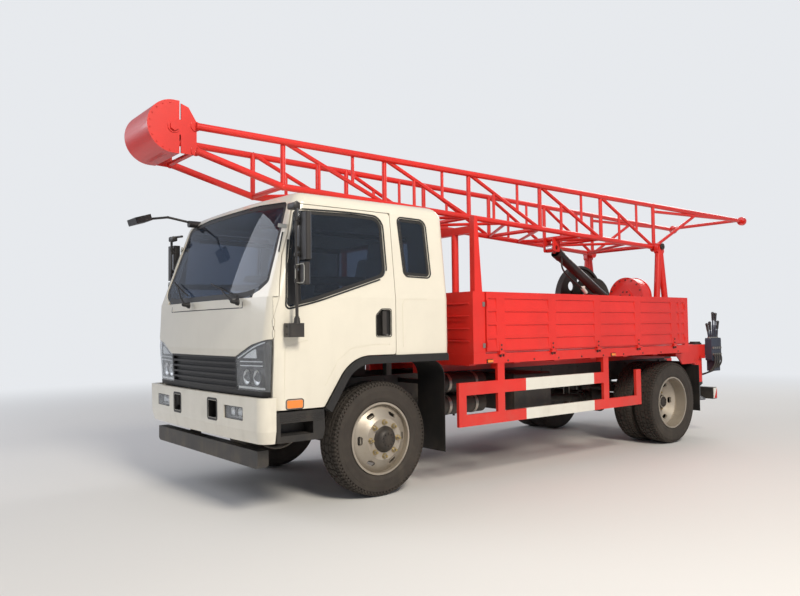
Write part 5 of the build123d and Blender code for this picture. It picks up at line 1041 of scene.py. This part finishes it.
def chassis_fasteners():
    """Rivets and bolts along the frame's webs, and the springs' hangers."""
    bolts = bmesh.new()
    for i in range(38):
        y = -0.80 + i * 0.158
        for z in ((0.760, 0.910) if i % 3 else (0.835,)):
            add_bolt(bolts, at(0.430, y, z), (1, 0, 0), 0.010, 0.007)
    for centre, half, z in ((0.0, 0.62, 0.50), (REAR_AXLE, 0.70, 0.60)):
        for end in (-1, 1):
            add_stub(bolts, at(0.434, centre + end * half, z + 0.14), (1, 0, 0), -0.002, 0.010, 0.020, 6)
    keep_pair(bolts, "frame_bolts", "chassis_black")


def spring_clamps():
    """U-bolts over the leaf packs, with their nuts below."""
    clamps = bmesh.new()
    for centre, top, foot in ((0.0, 0.535, 0.405), (REAR_AXLE, 0.655, 0.455)):
        for y in (centre - 0.075, centre + 0.075):
            for x in (0.350, 0.440):
                add_rod(clamps, at(x, y, foot), at(x, y, top), 0.009, 12)
                add_stub(clamps, at(x, y, foot), (0, 0, 1), 0.010, 0.026, 0.016, 6)
            add_rod(clamps, at(0.350, y, top), at(0.440, y, top), 0.009, 12)
    keep_pair(clamps, "spring_u_bolts", "fitting_steel")


def tank_fittings():
    """Straps, the filler cap, the battery box's lid clips and the air tanks' drain rings."""
    straps, caps = bmesh.new(), bmesh.new()
    for y in (1.46, 2.08):
        add_block(straps, at(-1.0045, y - 0.022, 0.476), at(-0.9995, y + 0.022, 0.904), 0.001, 1)
        add_block(straps, at(-1.0045, y - 0.022, 0.8995), at(-0.490, y + 0.022, 0.9045), 0.001, 1)
        add_block(straps, at(-1.0045, y - 0.022, 0.4755), at(-0.490, y + 0.022, 0.4805), 0.001, 1)
    for z in (0.640, 0.850):
        for y in (1.08, 1.43):
            add_band(straps, at(0.560, y, z), (0, 1, 0), 0.0, 0.016, 0.0955, 0.099, 40)
    keep(straps, "tank_straps", "fitting_steel")
    add_stub(caps, at(-0.86, 1.70, 0), (0, 0, 1), 0.898, 0.934, 0.048, 28)
    add_stub(caps, at(-0.86, 1.70, 0), (0, 0, 1), 0.930, 0.944, 0.040, 24)
    for y in (1.80, 2.14):
        add_block(caps, at(0.899, y - 0.018, 0.800), at(0.906, y + 0.018, 0.880), 0.002, 1)
        add_rod(caps, at(0.904, y - 0.020, 0.872), at(0.904, y + 0.020, 0.872), 0.006, 12)
    add_block(caps, at(0.520, 1.690, 0.880), at(0.905, 1.700, 0.925), 0.002, 1)
    for z in (0.640, 0.850):
        add_rod(caps, at(0.560, 1.20, z - 0.094), at(0.560, 1.20, z - 0.112), 0.012, 8)
    keep(caps, "tank_caps_and_clips", "black_plastic")


def step_treads():
    """Ribs across the lower and the upper cab steps."""
    ribs = bmesh.new()
    for i in range(7):
        x = 0.960 + i * 0.022
        add_block(ribs, at(x, -1.000, 0.6095), at(x + 0.008, -0.765, 0.6145), 0.0015, 1)
    for i in range(5):
        z = 0.700 + i * 0.014
        add_block(ribs, at(1.1185, -1.030 + i * 0.002, z), at(1.1225, -0.660, z + 0.006), 0.0015, 1)
    keep_pair(ribs, "step_treads", "black_plastic")


chassis_fasteners()
spring_clamps()
tank_fittings()
step_treads()


# Cab corners: the filled joint beside each door, the pillar's clip and slotted grip, and the mirror feet

PILLAR_FOOT = [(1.100, -1.0655, 1.458), (1.104, -1.0560, 1.492), (1.108, -1.0460, 1.537),
               (1.1135, -1.0360, 1.573), (1.120, -1.0240, 1.628), (1.095, -1.0655, 1.628)]


def corner_fittings():
    """The plate that closes the joint at each pillar's foot, the pillar's clip, and its grip with a border."""
    for side, word in SIDES:
        filler = bmesh.new()
        add_plate(filler, [at(side * x, y, z) for x, y, z in PILLAR_FOOT], Vector((-side * 0.003, 0.002, 0)))
        keep(filler, f"pillar_foot_{word}", "cab_white", f"door_{word}")
        clip = bmesh.new()
        start, end = at(0.945, -0.934, 2.180), at(1.031, -0.906, 2.162)
        run = end - start
        turn = Matrix.Translation((start + end) / 2) @ run.to_track_quat("X", "Z").to_matrix().to_4x4()
        size = Matrix.Diagonal((run.length, 0.016, 0.030, 1))
        made = bmesh.ops.create_cube(clip, size=1.0, matrix=turn @ size)
        round_edges(clip, made, 0.004)
        grip, border = bmesh.new(), bmesh.new()
        low, high = at(1.031, -0.975, 1.973), at(1.006, -0.931, 2.114)
        add_rod(grip, low, high, 0.0085, 14)
        add_ball(grip, low, 0.0085, 6)
        add_ball(grip, high, 0.0085, 6)
        inwards = Vector((-0.002, 0.0075, -0.002))
        add_rod(border, low + inwards + (low - high) * 0.05, high + inwards + (high - low) * 0.05, 0.0135, 16)
        to_side(side, clip, grip, border)
        keep(clip, f"pillar_clip_{word}", "clip_grey")
        keep(grip, f"pillar_grip_{word}", "door_rubber")
        keep(border, f"pillar_grip_border_{word}", "clip_grey")


def mirror_mounts():
    """Collars, the top bracket and the clamps of the mirror poles."""
    for side, word in SIDES:
        mounts = bmesh.new()
        x, y = 1.215, -0.935
        add_stub(mounts, at(x, y, 0), (0, 0, 1), 1.425, 1.470, 0.026, 24, 0.020)
        add_stub(mounts, at(x, y, 0), (0, 0, 1), 1.468, 1.480, 0.017, 20)
        add_block(mounts, at(1.122, -0.962, 2.270), at(1.232, -0.908, 2.318), 0.010)
        for z in (1.742, 1.842, 1.930, 2.196):
            add_stub(mounts, at(x, y, z), (0, 0, 1), -0.013, 0.013, 0.019, 20)
            add_block(mounts, at(x - 0.004, y, z - 0.010), at(x + 0.018, y + 0.030, z + 0.010), 0.003, 1)
        for z in (1.352, 1.410):
            add_bolt(mounts, at(1.182, -1.003, z), (0, -1, 0), 0.008, 0.006)
        to_side(side, mounts)
        keep(mounts, f"mirror_mounts_{word}", "mirror_plastic", f"door_{word}")


def duct_surrounds():
    """Dark frames round the bumper's two openings."""
    outline = [(0.290, 0.700), (0.430, 0.700), (0.430, 0.835), (0.290, 0.835)]
    for side, word in SIDES:
        laid(f"bumper_duct_surround_{word}", ahead(side, outline), [0.004] * 4, "bumper", "black_plastic",
             width=0.018, outward=True, thick=0.002, lift=0.0005)


corner_fittings()
mirror_mounts()
duct_surrounds()


# Rig: ram hoses, drive case, crown, mast pivots, rotary table, levers, jacks and the rear bar

def ram_plumbing():
    """The ram's two hoses with the pale valve between them, and the rings round both ends of its barrel."""
    tube("ram_hose", [at(0.030, 3.520, 2.262), at(0.066, 3.523, 2.236), at(0.066, 3.500, 2.110),
                      at(0.066, 3.620, 2.010), at(0.066, 3.886, 1.872), at(0.066, 3.926, 1.848)],
         0.011, "hose_rubber", "ram_barrel")
    tube("ram_return_hose", [at(0.066, 3.960, 1.836), at(0.066, 4.060, 1.792), at(0.066, 4.250, 1.780),
                             at(0.060, 4.430, 1.742)], 0.011, "hose_rubber", "ram_barrel")
    valve = bmesh.new()
    along = Vector((0, 0.78, -0.62)).normalized()
    middle = at(0.066, 3.942, 1.842)
    add_stub(valve, middle, along, -0.045, 0.045, 0.024, 20)
    add_stub(valve, middle, along, -0.062, -0.040, 0.017, 6)
    add_stub(valve, middle, along, 0.040, 0.062, 0.017, 6)
    add_stub(valve, middle, (0, 0, 1), 0.018, 0.052, 0.014, 16)
    keep(valve, "ram_valve", "plate_white", "ram_barrel")
    line = Vector((0, 3.405 - 4.620, 2.352 - 1.660)).normalized()
    base = at(0, 4.620, 1.660)
    rings = bmesh.new()
    for share, radius in ((1.286, 0.0705), (0.220, 0.068)):
        add_band(rings, base + line * share, line, 0.0, 0.020, 0.0625, radius, 32)
    keep(rings, "ram_gland_rings", "cast_iron", "ram_barrel")


def case_bolts():
    """The drive case's rims, and the bolts round it and round its lid."""
    centre = at(0.350, 0, 1.745)
    rims, bolts = bmesh.new(), bmesh.new()
    for y in (4.4315, 4.6085):
        add_band(rims, centre, (0, 1, 0), y, 0.0065, 0.2475, 0.2555, 64)
    keep(rims, "drive_case_rims", "rig_red")
    for y, radius, angles in ((4.425, 0.226, [math.pi * i / 8 for i in range(9)]),
                              (4.409, 0.074, even_angles(8, 0.5))):
        for spot in round_spots(centre + Vector((0, y, 0)), (1, 0, 0), (0, 0, 1), radius, angles):
            add_bolt(bolts, spot, (0, -1, 0), 0.010, 0.008)
    keep(bolts, "drive_case_bolts", "dark_bolt")


def crown_nuts():
    """The crown shaft's washers and nuts, and the bolts round each cheek's front edge."""
    nuts = bmesh.new()
    centre = at(0, -1.487, 3.003)
    for side in (-1, 1):
        face = centre + Vector((side * 0.270, 0, 0))
        add_stub(nuts, face, (side, 0, 0), 0, 0.006, 0.050, 28)
        add_stub(nuts, face, (side, 0, 0), 0.005, 0.022, 0.036, 6)
        angles = [math.pi * 0.5 + math.pi * (i + 0.5) / 10 for i in range(10)]
        for spot in round_spots(face, (0, 1, 0), (0, 0, 1), 0.192, angles):
            add_bolt(nuts, spot, (side, 0, 0), 0.008, 0.006)
    keep(nuts, "crown_shaft_nuts", "rig_red", "mast")


def pivot_caps():
    """Pins through the posts' heads, with their keeper plates."""
    pins = bmesh.new()
    pin = at(0.556, 4.880, 2.405)
    add_stub(pins, pin, (1, 0, 0), 0, 0.056, 0.030, 24)
    add_stub(pins, pin, (1, 0, 0), 0.048, 0.062, 0.040, 24)
    add_bolt(pins, at(0.618, 4.880, 2.405), (1, 0, 0), 0.014, 0.010)
    keep_pair(pins, "mast_pivot_caps", "cast_iron")


def table_bolts():
    """The bolts on the rotary table's top and on its base's flange."""
    top = bmesh.new()
    for spot in round_spots(at(0, 5.460, 1.100), (1, 0, 0), (0, 1, 0), 0.205, even_angles(8)):
        add_bolt(top, spot, (0, 0, 1), 0.013, 0.010)
    keep(top, "rotary_table_bolts", "dark_bolt", "rotary_table")
    flange = bmesh.new()
    for spot in round_spots(at(0, 5.460, 1.040), (1, 0, 0), (0, 1, 0), 0.276, even_angles(12, 0.5)):
        add_bolt(flange, spot, (0, 0, 1), 0.009, 0.007)
    keep(flange, "rotary_base_bolts", "dark_bolt")


def lever_grips():
    """Sleeves and ball grips on the levers, the valve caps and the pipes below the bank."""
    sleeves, grips, caps = bmesh.new(), bmesh.new(), bmesh.new()
    for i, (lean, height) in enumerate(((-0.040, 0.150), (-0.020, 0.170), (0.010, 0.290), (0.030, 0.280),
                                        (0.035, 0.180))):
        y = 5.120 + i * 0.045
        foot, tip = at(1.078, y, 1.200), at(1.078, y + lean, 1.200 + height)
        along = (tip - foot).normalized()
        add_stub(sleeves, foot, along, 0, height * 0.62, 0.0125, 12)
        add_stub(grips, tip, along, -0.055, 0.030, 0.014, 14, 0.017)
        add_ball(grips, tip + along * 0.036, 0.0195, 7)
        add_stub(caps, foot, (0, 0, 1), 0.013, 0.026, 0.021, 18)
        for z in (1.090, 1.010):
            add_stub(caps, at(1.118, y, z), (1, 0, 0), 0, 0.016, 0.016, 6)
    keep(sleeves, "lever_sleeves", "lever_blue")
    keep(grips, "lever_grips", "knob_black")
    keep(caps, "lever_valve_caps", "fitting_steel")
    for i in range(4):
        y = 5.120 + i * 0.050
        tube(f"lever_pipe_{i + 1}", [at(1.128, y, 1.010), at(1.158, y, 0.990), at(1.150, y - 0.02, 0.860),
                                     at(1.060 - i * 0.02, y - 0.06, 0.760), at(0.900, 5.150 - i * 0.03, 0.740)],
             0.010, "hose_rubber")


def jack_flanges():
    """Flanges round the jack tubes."""
    rings = bmesh.new()
    centre = at(0.930, 5.040, 0)
    for z in (0.650, 1.140):
        add_band(rings, centre, (0, 0, 1), z, 0.014, 0.0620, 0.076, 32)
    keep_pair(rings, "jack_tube_flanges", "chassis_black")


def rear_lamps():
    """Tail lamps, the blank number plate and the red and white boards on the rear bar."""
    boxes, reds, ambers, boards, triangles, plate = (bmesh.new() for _ in range(6))
    add_block(boxes, at(0.500, 5.2595, 0.462), at(0.860, 5.280, 0.572), 0.006)
    add_block(reds, at(0.508, 5.278, 0.470), at(0.680, 5.290, 0.564), 0.005)
    add_block(ambers, at(0.686, 5.278, 0.470), at(0.852, 5.290, 0.564), 0.005)
    add_block(boards, at(1.0803, 5.176, 0.452), at(1.0860, 5.258, 0.584), 0.002, 1)
    add_block(boards, at(0.930, 5.2603, 0.452), at(1.078, 5.2650, 0.584), 0.002, 1)
    add_plate(triangles, [at(1.0862, 5.256, 0.454), at(1.0862, 5.256, 0.582), at(1.0862, 5.190, 0.454)],
              Vector((0.0008, 0, 0)))
    add_plate(triangles, [at(1.076, 5.2652, 0.454), at(0.950, 5.2652, 0.454), at(1.076, 5.2652, 0.582)],
              Vector((0, 0.0008, 0)))
    add_block(plate, at(-0.220, 5.2600, 0.455), at(0.220, 5.2640, 0.580), 0.003, 1)
    keep_pair(boxes, "tail_lamp_boxes", "black_plastic")
    keep_pair(reds, "tail_lamp_red", "red_lens")
    keep_pair(ambers, "tail_lamp_amber", "amber_lens")
    keep_pair(boards, "marker_boards", "plate_white")
    keep_pair(triangles, "marker_board_triangles", "plate_red")
    keep(plate, "number_plate_blank", "plate_white")


ram_plumbing()
case_bolts()
crown_nuts()
pivot_caps()
table_bolts()
lever_grips()
jack_flanges()
rear_lamps()


# Camera, light and floor

BACKDROP = (0.80, 0.82, 0.85, 1)
SENSOR_WIDTH = 36.0
FOCAL_SHARE = 721.9 / 800
LAMPS = (("key", (10.0, -4.0, 8.5), 4.0, 1230.0, (1.0, 0.93, 0.81)),
         ("fill", (-7.0, -10.0, 6.0), 7.0, 340.0, (0.92, 0.94, 1.0)),
         ("back", (-3.0, 11.0, 8.0), 6.0, 430.0, (1.0, 0.97, 0.92)))
SKY_STRENGTH = 0.41
FADE_START, FADE_END = 6.0, 15.0


def aim_camera():
    """The photograph's view: ahead of the truck's left front corner, just below window height."""
    lens = bpy.data.cameras.new("view")
    lens.sensor_fit = "HORIZONTAL"
    lens.sensor_width = SENSOR_WIDTH
    lens.lens = FOCAL_SHARE * SENSOR_WIDTH
    camera = put("view", lens)
    yaw, pitch, roll = math.radians(51.44), math.radians(2.4), math.radians(-0.71)
    forward = Vector((-math.sin(yaw) * math.cos(pitch), math.cos(yaw) * math.cos(pitch), math.sin(pitch)))
    right = forward.cross(Vector((0, 0, 1))).normalized()
    up = right.cross(forward)
    side = right * math.cos(roll) + up * math.sin(roll)
    top = up * math.cos(roll) - right * math.sin(roll)
    turn = Matrix((side, top, -forward)).transposed().to_4x4()
    camera.matrix_world = Matrix.Translation(at(5.789, -3.621, 1.385)) @ turn
    bpy.context.scene.camera = camera


def seen_directly(tree):
    """One for the rays that see the backdrop plainly or through glass, and nought for the rest."""
    path = tree.nodes.new("ShaderNodeLightPath")
    return math_node(tree, "MAXIMUM", path.outputs["Is Camera Ray"], path.outputs["Is Transmission Ray"])


def light_studio():
    """A soft sky, a broad warm key from the left front, a cool fill and a light from behind."""
    scene = bpy.context.scene
    scene.view_settings.view_transform = "Standard"
    world = bpy.data.worlds.new("studio")
    scene.world = world
    world.use_nodes = True
    tree = world.node_tree
    light = fill(tree, tree.nodes["Background"], {"Color": (0.86, 0.90, 1.0, 1), "Strength": SKY_STRENGTH})
    backdrop = add_node(tree, "Background", {"Color": BACKDROP, "Strength": 1.0})
    mix = add_node(tree, "MixShader", {0: seen_directly(tree), 1: light.outputs[0], 2: backdrop.outputs[0]})
    fill(tree, tree.nodes["World Output"], {"Surface": mix.outputs[0]})
    for name, place, size, power, colour in LAMPS:
        lamp = bpy.data.lights.new(name, "AREA")
        lamp.shape = "DISK"
        lamp.size = size
        lamp.energy = power
        lamp.color = colour
        put(name, lamp).matrix_world = Matrix.Translation(place) @ oriented(Vector(place) - Vector((0, 0, 1.2)))


def lay_floor():
    """A pale floor that takes the shadow and fades into the backdrop."""
    bm = bmesh.new()
    bmesh.ops.create_grid(bm, x_segments=1, y_segments=1, size=60.0)
    floor = put("floor", as_mesh(bm, "floor"))
    tree, shader = new_material("floor")
    fill(tree, shader, {"Base Color": (0.74, 0.73, 0.71, 1), "Roughness": 0.9})
    far = add_node(tree, "VectorMath", {0: object_place(tree)}, operation="LENGTH").outputs["Value"]
    haze = add_node(tree, "Emission", {"Color": BACKDROP})
    fade = math_node(tree, "MULTIPLY", remap(tree, far, FADE_START, FADE_END), seen_directly(tree))
    mix = add_node(tree, "MixShader", {0: fade, 1: shader.outputs[0], 2: haze.outputs[0]})
    fill(tree, tree.nodes["Material Output"], {"Surface": mix.outputs[0]})
    floor.data.materials.append(materials["floor"])


aim_camera()
light_studio()
lay_floor()
